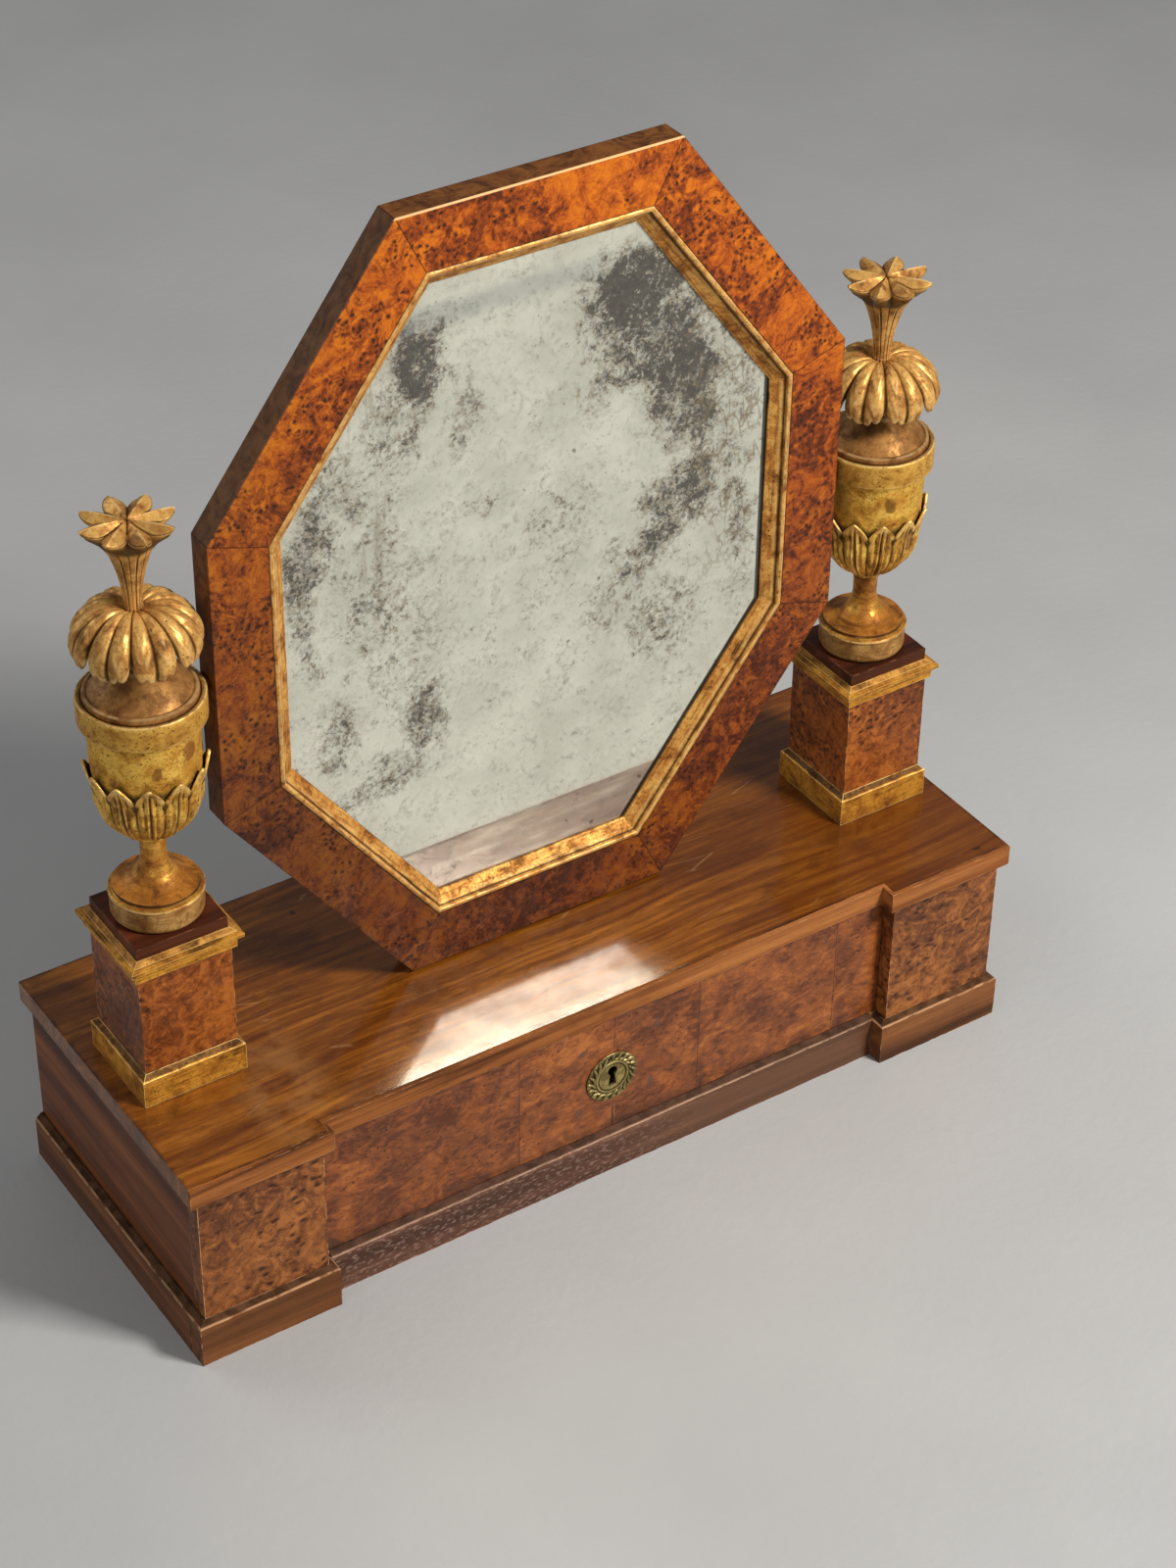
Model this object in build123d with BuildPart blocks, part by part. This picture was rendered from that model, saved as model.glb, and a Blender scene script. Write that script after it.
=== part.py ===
from build123d import *
import os
from math import hypot

os.makedirs("parts", exist_ok=True)

# A table mirror: an octagonal frame that turns between two urns, over a low case with one drawer.
# X runs along the width, the front faces -Y, Z is up. The origin is under the middle of the plinth.

# Case, board and plinth
BASE_W = 600.0
BASE_D = 222.0
BOARD_TOP = 141.4
BOARD_T = 14.4
LIPPING_T = 3.0
WING_W = 95.5
RECESS = 10.7
OVERHANG_FRONT = 4.3
OVERHANG_SIDE = 5.8
OVERHANG_BACK = 2.0
WALL_T = 12.0
PARTITION_T = 10.0
BACK_T = 8.0
FLOOR_T = 9.0
PLINTH_EDGE_Z = 29.5
CASE_FOOT_Z = 33.1
PLINTH_BEVEL = 4.2
PLINTH_T = 14.0

# Drawer
DRAWER_GAP = 0.6
FRONT_T = 14.0
DRAWER_SIDE_T = 8.0
DRAWER_SIDE_TOP = 119.0
DRAWER_DEPTH = 180.0
DRAWER_BACK_TOP = 113.0
PANEL_T = 5.0
PANEL_RISE = 7.0
GROOVE_DEPTH = 3.0
LAP = 8.0
SIDE_SETBACK = 0.4
TAIL_COUNT = 3
TAIL_WIDE = 18.0
TAIL_NARROW = 14.0
STOP_SIZE = (34.0, 12.0, 4.0)
STOP_X = 78.0
STOP_CLEARANCE = 0.3

# Till lock and escutcheon
LOCK_W = 44.0
LOCK_FOOT_Z = 66.0
LOCK_T = 9.0
LOCK_PLATE_W = 58.0
LOCK_PLATE_T = 1.4
BOLT_W = 22.0
BOLT_T = 4.0
BOLT_FOOT_Z = 92.0
BOLT_CHAMFER = 0.6
MORTISE_ROOM = 0.5
MORTISE_DEPTH = 6.5
BOLT_CLEARANCE = 0.15
KEY_SPACE_W = 16.0
KEY_PIN_R = 1.1
SCREW_X = 25.5
SCREW_Z = (72.0, 118.0)
SCREW_R = 1.2
SCREW_HEAD_R = 2.2
SCREW_HEAD_T = 1.0
SCREW_LENGTH = 9.0
KEYHOLE_Z = 81.0
KEYHOLE_R = 3.6
KEYHOLE_FOOT_Z = 69.6
KEYHOLE_NECK_W = 3.4
KEYHOLE_FOOT_W = 6.0
ESCUTCHEON_Z = 76.0
ESCUTCHEON_R = 18.5
ESCUTCHEON_T = 1.2
WREATH_R = 15.2
WREATH_LEAVES = 20
WREATH_LEAF_L = 6.4
WREATH_LEAF_W = 3.6
WREATH_SLANT = 62.0
WREATH_RELIEF = 1.2
PIN_SHANK_R = 0.6
PIN_HEAD_R = 1.2
PIN_HEAD_T = 0.5
PIN_LENGTH = 6.0

# Pedestals: heights are above the board
PEDESTAL_X = 254.0
PEDESTAL_BASE_HALF = 34.1
PEDESTAL_BASE_H = 18.9
PEDESTAL_BEVEL_H = 3.5
DIE_HALF = 30.4
DIE_TOP = 93.0
FILLET_HALF = 33.0
FILLET_TOP = 100.5
CORONA_HALF = 36.5
CORONA_TOP = 103.5
CAP_FOOT = 107.0
COVE_MIDDLE = 104.7
COVE_HALF = 33.0
COVE_TOP_LEDGE = 0.6
CAP_HALF = 29.5
CAP_CHAMFER = 0.6
CAP_TOP = 114.6

# Urns: heights are above the floor
FOOT_R = 27.5
FOOT_ROUND_W = 2.7
FOOT_ROUND_H = 3.6
FOOT_EDGE_Z = 273.8
DOME_EDGE = (25.4, 276.6)
STEM_R = 7.5
STEM_Z = 296.0
COLLAR_Z = 309.5
COLLAR_R = 9.0
BOWL_R = 31.2
BOWL_SIDE_Z = 354.0
BAND_R = 36.7
BAND_FOOT_Z = 392.0
BAND_TOP_Z = 408.0
RIM_GROOVE = 1.2
LID_R = 32.8
LID_EDGE_Z = 411.0
NECK_R = 9.0
NECK_Z = 428.0
CROWN_FOOT_Z = 455.0
CROWN_TOP_Z = 464.5
CROWN_R = 37.5
CROWN_RIM_Z = 442.5
CROWN_TIP_Z = 435.7
CROWN_NOTCH_Z = 450.0
STEM_FOOT_R = 5.4
LEAF_COUNT = 12
LEAF_TURN = 5.4
LEAF_NOTCH_Z = 354.0
CROWN_LEAVES = 8
CROWN_TURN = -9.0
STAR_RAYS = 8
STAR_TURN = -5.0
GROOVE_ARC = 3.4
FLUTE_ARC = 9.0
# Sections of one star ray: distance from the axis, half width, then heights of ridge, edge and underside
RAY_SECTIONS = (
    (2.0, 0.8, 520.2, 519.4, 509.0),
    (17.0, 6.6, 521.0, 517.6, 507.5),
    (24.0, 4.4, 520.5, 518.0, 513.0),
    (27.0, 1.6, 519.6, 518.8, 517.2),
)

# Mirror
FRAME_HALF_W = 214.5
FRAME_HALF_H = 257.3
CORNER_X = 122.1
CORNER_Z = 163.4
PIVOT_Z = 401.0
FRAME_FRONT_Y = -13.0
FRAME_BACK_Y = 5.0
BAND_W = 37.3
REBATE_W = 29.3
GLASS_Y = -4.0
GLASS_T = 3.5
BACKBOARD_T = 4.0
GLASS_CLEARANCE = 0.3
SLIP_W = 11.5
SLIP_GAP = 0.2
SLIP_BEAD_Y = -13.7
ARRIS_R = 0.8
PIVOT_R = 3.0
PIVOT_CLEARANCE = 0.05
PIVOT_IN_FRAME = 14.0
PIVOT_IN_URN = 16.0
BORE_END_ROOM = 1.0
SHOULDER_R = 5.0
SHOULDER_T = 1.4
BRAD_R = 0.6
BRAD_LENGTH = 10.0
BRAD_SHOWS = 4.0
BRAD_SHARES = (0.3, 0.7)

BOARD_FOOT = BOARD_TOP - BOARD_T
FRONT_Y = -BASE_D / 2
BACK_Y = BASE_D / 2
CASE_BACK_Y = BACK_Y - OVERHANG_BACK
WING_Y = FRONT_Y + OVERHANG_FRONT
DRAWER_Y = WING_Y + RECESS
CASE_HALF_W = BASE_W / 2 - OVERHANG_SIDE
BAY_HALF_W = BASE_W / 2 - WING_W + OVERHANG_SIDE
BREAK_X = BASE_W / 2 - WING_W


def save(piece, label):
    """Name a finished piece and write it to its own file."""
    piece.part.label = label
    export_step(piece.part, f"parts/{label}.step")


def save_group(solids, label):
    """Write several like solids as one node."""
    group = Compound(solids)
    group.label = label
    export_step(group, f"parts/{label}.step")


def box_between(low, high, mode=Mode.ADD):
    """A box given by its lowest and its highest corner."""
    size = [b - a for a, b in zip(low, high)]
    middle = [(a + b) / 2 for a, b in zip(low, high)]
    with Locations(tuple(middle)):
        Box(*size, mode=mode)


def mirrored(sign, inner_x, outer_x):
    """Two x values carried to one side of the middle, lowest first."""
    return sorted((sign * inner_x, sign * outer_x))


def facing_front(x, y, z):
    """A plane across the object, looked at from the front: its outside is towards -Y."""
    return Plane(origin=(x, y, z), x_dir=(1, 0, 0), z_dir=(0, -1, 0))


def polygon(plane, points):
    """A flat face with straight edges."""
    with BuildSketch(plane) as face:
        with BuildLine():
            Polyline(*points, close=True)
        make_face()
    return face.sketch


def break_front(z, front, side):
    """Plan of the board and the plinth: two wings that stand forward of the middle.

    The front and its two returns stand back by front, the two ends by side."""
    end = BASE_W / 2 - side
    inner = BREAK_X + front
    wing = FRONT_Y + front
    middle = FRONT_Y + RECESS + front
    half = (inner, middle), (inner, wing), (end, wing), (end, BACK_Y)
    return polygon(Plane.XY.offset(z), [(-x, y) for x, y in reversed(half)] + list(half))


SIDES = (("left", -1), ("right", 1))

# Board with its front edging, and the mortise that the lock bolt enters

front_back_y = DRAWER_Y + FRONT_T
bolt_y = front_back_y - LOCK_T / 2

with BuildPart() as top_board:
    extrude(break_front(BOARD_FOOT, LIPPING_T, 0), amount=BOARD_T)
    box_between(
        (-BOLT_W / 2 - MORTISE_ROOM, bolt_y - BOLT_T / 2 - MORTISE_ROOM, BOARD_FOOT),
        (BOLT_W / 2 + MORTISE_ROOM, bolt_y + BOLT_T / 2 + MORTISE_ROOM, BOARD_FOOT + MORTISE_DEPTH),
        mode=Mode.SUBTRACT,
    )
save(top_board, "top_board")

with BuildPart() as top_lipping:
    extrude(break_front(BOARD_FOOT, 0, 0), amount=BOARD_T)
    extrude(break_front(BOARD_FOOT, LIPPING_T, 0), amount=BOARD_T, mode=Mode.SUBTRACT)
save(top_lipping, "top_lipping")

# Case walls

for side, sign in SIDES:
    with BuildPart() as side_panel:
        x = mirrored(sign, CASE_HALF_W - WALL_T, CASE_HALF_W)
        box_between((x[0], WING_Y + WALL_T, CASE_FOOT_Z), (x[1], CASE_BACK_Y, BOARD_FOOT))
    save(side_panel, f"side_panel_{side}")

    with BuildPart() as wing_front:
        x = mirrored(sign, BAY_HALF_W, CASE_HALF_W)
        box_between((x[0], WING_Y, CASE_FOOT_Z), (x[1], WING_Y + WALL_T, BOARD_FOOT))
    save(wing_front, f"wing_front_{side}")

    with BuildPart() as partition:
        x = mirrored(sign, BAY_HALF_W, BAY_HALF_W + PARTITION_T)
        box_between((x[0], WING_Y + WALL_T, CASE_FOOT_Z), (x[1], CASE_BACK_Y - BACK_T, BOARD_FOOT))
    save(partition, f"partition_{side}")

with BuildPart() as back_panel:
    inside = CASE_HALF_W - WALL_T
    box_between((-inside, CASE_BACK_Y - BACK_T, CASE_FOOT_Z), (inside, CASE_BACK_Y, BOARD_FOOT))
save(back_panel, "back_panel")

with BuildPart() as bottom_board:
    inside = BASE_W / 2 - PLINTH_T
    floor_z = CASE_FOOT_Z - FLOOR_T
    floor_y = FRONT_Y + RECESS + PLINTH_T
    box_between((-inside, floor_y, floor_z), (inside, CASE_BACK_Y - PLINTH_T, CASE_FOOT_Z))
    for side, sign in SIDES:
        x = mirrored(sign, BREAK_X, inside)
        box_between((x[0], FRONT_Y + PLINTH_T, floor_z), (x[1], floor_y, CASE_FOOT_Z))
save(bottom_board, "bottom_board")

with BuildPart() as drawer_stops:
    stop_y = front_back_y + STOP_CLEARANCE + STOP_SIZE[1] / 2
    with Locations((0, stop_y, CASE_FOOT_Z + STOP_SIZE[2] / 2)):
        with GridLocations(2 * STOP_X, 0, 2, 1):
            Box(*STOP_SIZE)
save(drawer_stops, "drawer_stops")

# Plinth: boards cut from one bevelled outline

with BuildPart() as plinth_stock:
    extrude(break_front(0, 0, 0), amount=PLINTH_EDGE_Z)
    bevel_top = break_front(CASE_FOOT_Z, PLINTH_BEVEL, PLINTH_BEVEL)
    loft([break_front(PLINTH_EDGE_Z, 0, 0), bevel_top], ruled=True)

for side, sign in SIDES:
    with BuildPart() as plinth_wing:
        add(plinth_stock.part)
        x = mirrored(sign, BREAK_X, BASE_W / 2)
        box_between((x[0], FRONT_Y, 0), (x[1], FRONT_Y + PLINTH_T, CASE_FOOT_Z), mode=Mode.INTERSECT)
    save(plinth_wing, f"plinth_wing_{side}")

    with BuildPart() as plinth_side:
        add(plinth_stock.part)
        x = mirrored(sign, BASE_W / 2 - PLINTH_T, BASE_W / 2)
        box_between((x[0], FRONT_Y + PLINTH_T, 0), (x[1], CASE_BACK_Y, CASE_FOOT_Z), mode=Mode.INTERSECT)
    save(plinth_side, f"plinth_side_{side}")

with BuildPart() as plinth_centre:
    add(plinth_stock.part)
    box_between(
        (-BREAK_X, FRONT_Y + RECESS, 0),
        (BREAK_X, FRONT_Y + RECESS + PLINTH_T, CASE_FOOT_Z),
        mode=Mode.INTERSECT,
    )
save(plinth_centre, "plinth_centre")

with BuildPart() as plinth_back:
    inside = BASE_W / 2 - PLINTH_T
    box_between((-inside, CASE_BACK_Y - PLINTH_T, 0), (inside, CASE_BACK_Y, CASE_FOOT_Z))
save(plinth_back, "plinth_back")

# Drawer: a front with lapped dovetails, two grooved sides, a back and a bottom in the grooves

drawer_end_y = front_back_y + DRAWER_DEPTH
front_half_w = BAY_HALF_W - DRAWER_GAP
side_half_w = front_half_w - SIDE_SETBACK
inner_half_w = side_half_w - DRAWER_SIDE_T
front_foot_z = CASE_FOOT_Z + DRAWER_GAP
front_top_z = BOARD_FOOT - DRAWER_GAP
panel_z = front_foot_z + PANEL_RISE
back_foot_z = panel_z + PANEL_T


def cut_tails(shoulder_y, tip_y, low_z, high_z, outer_half_w, mode):
    """Dovetails at both ends of the drawer, widening from the shoulder to the tip."""
    pitch = (high_z - low_z) / TAIL_COUNT
    for sign in (-1, 1):
        x = mirrored(sign, inner_half_w, outer_half_w)
        across = Plane(origin=(x[0], 0, 0), x_dir=(0, 1, 0), z_dir=(1, 0, 0))
        for index in range(TAIL_COUNT):
            z = low_z + pitch * (index + 0.5)
            tail = polygon(
                across,
                [
                    (shoulder_y, z - TAIL_NARROW / 2),
                    (tip_y, z - TAIL_WIDE / 2),
                    (tip_y, z + TAIL_WIDE / 2),
                    (shoulder_y, z + TAIL_NARROW / 2),
                ],
            )
            extrude(tail, amount=x[1] - x[0], mode=mode)


def keyhole(y):
    """A round-headed keyhole that widens towards its foot."""
    with BuildSketch(facing_front(0, y, 0)) as hole:
        with Locations((0, KEYHOLE_Z)):
            Circle(KEYHOLE_R)
        with BuildLine():
            Polyline(
                (-KEYHOLE_NECK_W / 2, KEYHOLE_Z),
                (-KEYHOLE_FOOT_W / 2, KEYHOLE_FOOT_Z),
                (KEYHOLE_FOOT_W / 2, KEYHOLE_FOOT_Z),
                (KEYHOLE_NECK_W / 2, KEYHOLE_Z),
                close=True,
            )
        make_face()
    return hole.sketch


def discs(plane, places, radius):
    """Equal round faces, for the shanks and heads of pins and screws."""
    with BuildSketch(plane) as faces:
        with Locations(*places):
            Circle(radius)
    return faces.sketch


pin_places = [(0, ESCUTCHEON_Z + WREATH_R), (0, ESCUTCHEON_Z - WREATH_R)]
screw_places = [(x, z) for x in (-SCREW_X, SCREW_X) for z in SCREW_Z]

with BuildPart() as drawer_front:
    box_between((-front_half_w, DRAWER_Y, front_foot_z), (front_half_w, front_back_y, front_top_z))
    box_between(
        (-inner_half_w - GROOVE_DEPTH, front_back_y - GROOVE_DEPTH, panel_z),
        (inner_half_w + GROOVE_DEPTH, front_back_y, panel_z + PANEL_T),
        mode=Mode.SUBTRACT,
    )
    cut_tails(front_back_y, front_back_y - LAP, front_foot_z, DRAWER_SIDE_TOP, front_half_w, Mode.SUBTRACT)
    box_between(
        (-LOCK_W / 2, front_back_y - LOCK_T, LOCK_FOOT_Z),
        (LOCK_W / 2, front_back_y, front_top_z),
        mode=Mode.SUBTRACT,
    )
    box_between(
        (-LOCK_PLATE_W / 2, front_back_y - LOCK_PLATE_T, LOCK_FOOT_Z),
        (LOCK_PLATE_W / 2, front_back_y, front_top_z),
        mode=Mode.SUBTRACT,
    )
    extrude(keyhole(front_back_y), amount=FRONT_T, mode=Mode.SUBTRACT)
    pin_tip = facing_front(0, DRAWER_Y - ESCUTCHEON_T + PIN_LENGTH, 0)
    extrude(discs(pin_tip, pin_places, PIN_SHANK_R), amount=PIN_LENGTH, mode=Mode.SUBTRACT)
    plate_face = facing_front(0, front_back_y, 0)
    extrude(discs(plate_face, screw_places, SCREW_R), amount=SCREW_LENGTH, mode=Mode.SUBTRACT)
save(drawer_front, "drawer_front")

for side, sign in SIDES:
    with BuildPart() as drawer_side:
        x = mirrored(sign, inner_half_w, side_half_w)
        box_between((x[0], front_back_y, front_foot_z), (x[1], drawer_end_y, DRAWER_SIDE_TOP))
        box_between(
            (x[0], drawer_end_y - DRAWER_SIDE_T, back_foot_z),
            (x[1], drawer_end_y, DRAWER_BACK_TOP),
            mode=Mode.SUBTRACT,
        )
        cut_tails(front_back_y, front_back_y - LAP, front_foot_z, DRAWER_SIDE_TOP, side_half_w, Mode.ADD)
        back_shoulder_y = drawer_end_y - DRAWER_SIDE_T
        cut_tails(back_shoulder_y, drawer_end_y, back_foot_z, DRAWER_BACK_TOP, side_half_w, Mode.ADD)
        box_between(
            (x[0], front_back_y - LAP, front_foot_z),
            (x[1], drawer_end_y, DRAWER_SIDE_TOP),
            mode=Mode.INTERSECT,
        )
        groove_x = mirrored(sign, inner_half_w, inner_half_w + GROOVE_DEPTH)
        box_between(
            (groove_x[0], front_back_y - GROOVE_DEPTH, panel_z),
            (groove_x[1], drawer_end_y, panel_z + PANEL_T),
            mode=Mode.SUBTRACT,
        )
    save(drawer_side, f"drawer_side_{side}")

with BuildPart() as drawer_back:
    box_between(
        (-side_half_w, drawer_end_y - DRAWER_SIDE_T, back_foot_z),
        (side_half_w, drawer_end_y, DRAWER_BACK_TOP),
    )
    cut_tails(
        drawer_end_y - DRAWER_SIDE_T, drawer_end_y, back_foot_z, DRAWER_BACK_TOP, side_half_w, Mode.SUBTRACT
    )
save(drawer_back, "drawer_back")

with BuildPart() as drawer_bottom:
    box_between(
        (-inner_half_w - GROOVE_DEPTH, front_back_y - GROOVE_DEPTH, panel_z),
        (inner_half_w + GROOVE_DEPTH, drawer_end_y, panel_z + PANEL_T),
    )
save(drawer_bottom, "drawer_bottom")

# Till lock: a hollow case on a plate, screwed to the back of the drawer front, and its sliding bolt

bolt_top_z = front_top_z
with BuildPart() as lock_case:
    box_between(
        (-LOCK_W / 2, front_back_y - LOCK_T, LOCK_FOOT_Z),
        (LOCK_W / 2, front_back_y, front_top_z),
    )
    box_between(
        (-LOCK_PLATE_W / 2, front_back_y - LOCK_PLATE_T, LOCK_FOOT_Z),
        (LOCK_PLATE_W / 2, front_back_y, front_top_z),
    )
    bolt_room = (BOLT_W / 2 + BOLT_CLEARANCE, BOLT_T / 2 + BOLT_CLEARANCE)
    box_between(
        (-bolt_room[0], bolt_y - bolt_room[1], BOLT_FOOT_Z),
        (bolt_room[0], bolt_y + bolt_room[1], front_top_z),
        mode=Mode.SUBTRACT,
    )
    box_between(
        (-KEY_SPACE_W / 2, bolt_y - bolt_room[1], LOCK_FOOT_Z + LOCK_PLATE_T),
        (KEY_SPACE_W / 2, bolt_y + bolt_room[1], BOLT_FOOT_Z),
        mode=Mode.SUBTRACT,
    )
    extrude(keyhole(bolt_y), amount=LOCK_T, mode=Mode.SUBTRACT)
    key_pin_foot = facing_front(0, bolt_y + BOLT_T, 0)
    extrude(discs(key_pin_foot, [(0, KEYHOLE_Z)], KEY_PIN_R), amount=LOCK_T - LOCK_PLATE_T)
    extrude(discs(plate_face, screw_places, SCREW_R), amount=LOCK_PLATE_T, mode=Mode.SUBTRACT)
save(lock_case, "lock_case")

with BuildPart() as lock_screws:
    extrude(discs(plate_face, screw_places, SCREW_R), amount=SCREW_LENGTH)
    extrude(discs(plate_face, screw_places, SCREW_HEAD_R), amount=-SCREW_HEAD_T)
save(lock_screws, "lock_screws")

with BuildPart() as lock_bolt:
    box_between(
        (-BOLT_W / 2, bolt_y - BOLT_T / 2, BOLT_FOOT_Z),
        (BOLT_W / 2, bolt_y + BOLT_T / 2, bolt_top_z),
    )
    top_edges = lock_bolt.edges().group_by(Axis.Z)[-1].filter_by(Axis.X)
    chamfer(top_edges, length=BOLT_CHAMFER)
save(lock_bolt, "lock_bolt")

# Escutcheon: a smooth plate inside a wreath of leaves, held by two pins


def wreath(y, length, width):
    """The slanting leaves of the wreath, as one flat shape."""
    with BuildSketch(facing_front(0, y, 0)) as leaves:
        with Locations((0, ESCUTCHEON_Z)):
            with PolarLocations(WREATH_R, WREATH_LEAVES):
                Ellipse(length / 2, width / 2, rotation=WREATH_SLANT)
    return leaves.sketch


with BuildPart() as escutcheon:
    plate_y = DRAWER_Y - ESCUTCHEON_T
    extrude(discs(facing_front(0, DRAWER_Y, 0), [(0, ESCUTCHEON_Z)], ESCUTCHEON_R), amount=ESCUTCHEON_T)
    extrude(wreath(plate_y, WREATH_LEAF_L, WREATH_LEAF_W), amount=WREATH_RELIEF / 2)
    crest_y = plate_y - WREATH_RELIEF / 2
    extrude(wreath(crest_y, WREATH_LEAF_L - 1.6, WREATH_LEAF_W - 1.6), amount=WREATH_RELIEF / 2)
    extrude(keyhole(DRAWER_Y), amount=ESCUTCHEON_T, mode=Mode.SUBTRACT)
    extrude(discs(pin_tip, pin_places, PIN_SHANK_R), amount=PIN_LENGTH + WREATH_RELIEF, mode=Mode.SUBTRACT)
save(escutcheon, "escutcheon")

with BuildPart() as escutcheon_pins:
    extrude(discs(pin_tip, pin_places, PIN_SHANK_R), amount=PIN_LENGTH + WREATH_RELIEF)
    pin_head_foot = facing_front(0, DRAWER_Y - ESCUTCHEON_T - WREATH_RELIEF, 0)
    extrude(discs(pin_head_foot, pin_places, PIN_HEAD_R), amount=PIN_HEAD_T)
save(escutcheon_pins, "escutcheon_pins")

# Pedestals under the urns

board_z = BOARD_TOP
cap_z = BOARD_TOP + CAP_TOP


def square(x, z, half):
    """A level square face about the axis of a pedestal."""
    with BuildSketch(Plane(origin=(x, 0, z))) as face:
        Rectangle(2 * half, 2 * half)
    return face.sketch


for side, sign in SIDES:
    x = sign * PEDESTAL_X

    with BuildPart() as pedestal_base:
        extrude(square(x, board_z, PEDESTAL_BASE_HALF), amount=PEDESTAL_BASE_H)
        bevel_z = board_z + PEDESTAL_BASE_H
        die_z = bevel_z + PEDESTAL_BEVEL_H
        loft([square(x, bevel_z, PEDESTAL_BASE_HALF), square(x, die_z, DIE_HALF)], ruled=True)
    save(pedestal_base, f"pedestal_base_{side}")

    with BuildPart() as pedestal_die:
        extrude(square(x, die_z, DIE_HALF), amount=board_z + DIE_TOP - die_z)
    save(pedestal_die, f"pedestal_die_{side}")

    with BuildPart() as pedestal_cornice:
        extrude(square(x, board_z + DIE_TOP, FILLET_HALF), amount=FILLET_TOP - DIE_TOP)
        extrude(square(x, board_z + FILLET_TOP, CORONA_HALF), amount=CORONA_TOP - FILLET_TOP)
        loft(
            [
                square(x, board_z + CORONA_TOP, CORONA_HALF),
                square(x, board_z + COVE_MIDDLE, COVE_HALF),
                square(x, board_z + CAP_FOOT, CAP_HALF + COVE_TOP_LEDGE),
            ],
            ruled=True,
        )
    save(pedestal_cornice, f"pedestal_cornice_{side}")

    with BuildPart() as pedestal_cap:
        extrude(square(x, board_z + CAP_FOOT, CAP_HALF), amount=CAP_TOP - CAP_FOOT)
        chamfer(pedestal_cap.faces().sort_by(Axis.Z)[-1].edges(), length=CAP_CHAMFER)
    save(pedestal_cap, f"pedestal_cap_{side}")

# Urns: turned pieces, a cup of leaves, a palm crown and a star on a fluted stem.
# Their outlines are written as (radius, height).

bowl_start = (9.4, 313.4)
bowl_bulge = (23.6, 325.0)
bowl_side = (30.2, 346.0)


def foot_outline(x):
    """Half section of the drum, its dark groove, and the dome that sweeps up into the stem."""
    round_foot = (FOOT_R - FOOT_ROUND_W, cap_z)
    round_top = (FOOT_R, cap_z + FOOT_ROUND_H)
    bead_foot = (FOOT_R, FOOT_EDGE_Z - 2.8)
    bead_top = (FOOT_R - 0.9, FOOT_EDGE_Z)
    with BuildSketch(facing_front(x, 0, 0)) as outline:
        with BuildLine():
            Line((0, cap_z), round_foot)
            ThreePointArc(round_foot, (FOOT_R - 0.9, cap_z + 1.2), round_top)
            Line(round_top, bead_foot)
            ThreePointArc(bead_foot, (FOOT_R + 0.7, FOOT_EDGE_Z - 1.4), bead_top)
            ThreePointArc(bead_top, (25.1, 275.1), DOME_EDGE)
            ThreePointArc(DOME_EDGE, (12.8, 283.0), (STEM_R, STEM_Z))
            Polyline((STEM_R, STEM_Z), (STEM_R + 0.5, COLLAR_Z), (0, COLLAR_Z), (0, cap_z))
        make_face()
    return outline.sketch


def bowl_outline(x):
    """Half section of the collar, the round bowl, its upright side and the rim band."""
    collar_top = (COLLAR_R, COLLAR_Z + 3.1)
    with BuildSketch(facing_front(x, 0, 0)) as outline:
        with BuildLine():
            Line((0, COLLAR_Z), (COLLAR_R, COLLAR_Z))
            ThreePointArc((COLLAR_R, COLLAR_Z), (COLLAR_R + 1.3, COLLAR_Z + 1.5), collar_top)
            Line(collar_top, bowl_start)
            ThreePointArc(bowl_start, bowl_bulge, bowl_side)
            Polyline(
                bowl_side,
                (BOWL_R, BOWL_SIDE_Z),
                (BOWL_R + 1.1, BAND_FOOT_Z - 1.0),
                (BAND_R - 0.3, BAND_FOOT_Z),
                (BAND_R, BAND_FOOT_Z + 0.8),
                (BAND_R, BAND_TOP_Z - 1.0),
                (BAND_R - 0.8, BAND_TOP_Z),
                (LID_R + 0.8, BAND_TOP_Z),
                (LID_R + 0.4, BAND_TOP_Z - RIM_GROOVE),
                (0, BAND_TOP_Z - RIM_GROOVE),
                (0, COLLAR_Z),
            )
        make_face()
    return outline.sketch


def leaf_outline(x):
    """Half section of the leaf cup: it hugs the bowl, then curls away from it at the tips."""
    tip_outside = (36.0, 364.0)
    tip_inside = (34.4, 364.6)
    with BuildSketch(facing_front(x, 0, 0)) as outline:
        with BuildLine():
            Line(bowl_start, (10.4, 312.7))
            ThreePointArc((10.4, 312.7), (25.8, 325.0), (31.9, 343.0))
            ThreePointArc((31.9, 343.0), (33.5, 354.0), tip_outside)
            Polyline(tip_outside, tip_inside, (31.5, 352.0), bowl_side)
            ThreePointArc(bowl_side, bowl_bulge, bowl_start)
        make_face()
    return outline.sketch


def lid_outline(x):
    """Half section of the lid: an upright edge, a shallow dome and the neck under the crown."""
    foot_z = BAND_TOP_Z - RIM_GROOVE
    shoulder = (LID_R - 1.5, LID_EDGE_Z)
    dome_top = (NECK_R + 1.0, NECK_Z)
    neck_foot = (NECK_R, NECK_Z + 5.0)
    with BuildSketch(facing_front(x, 0, 0)) as outline:
        with BuildLine():
            Polyline((0, foot_z), (LID_R, foot_z), (LID_R, LID_EDGE_Z - 1.6), shoulder)
            ThreePointArc(shoulder, (20.0, 421.0), dome_top)
            Polyline(dome_top, neck_foot, (NECK_R, CROWN_FOOT_Z), (0, CROWN_FOOT_Z), (0, foot_z))
        make_face()
    return outline.sketch


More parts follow.
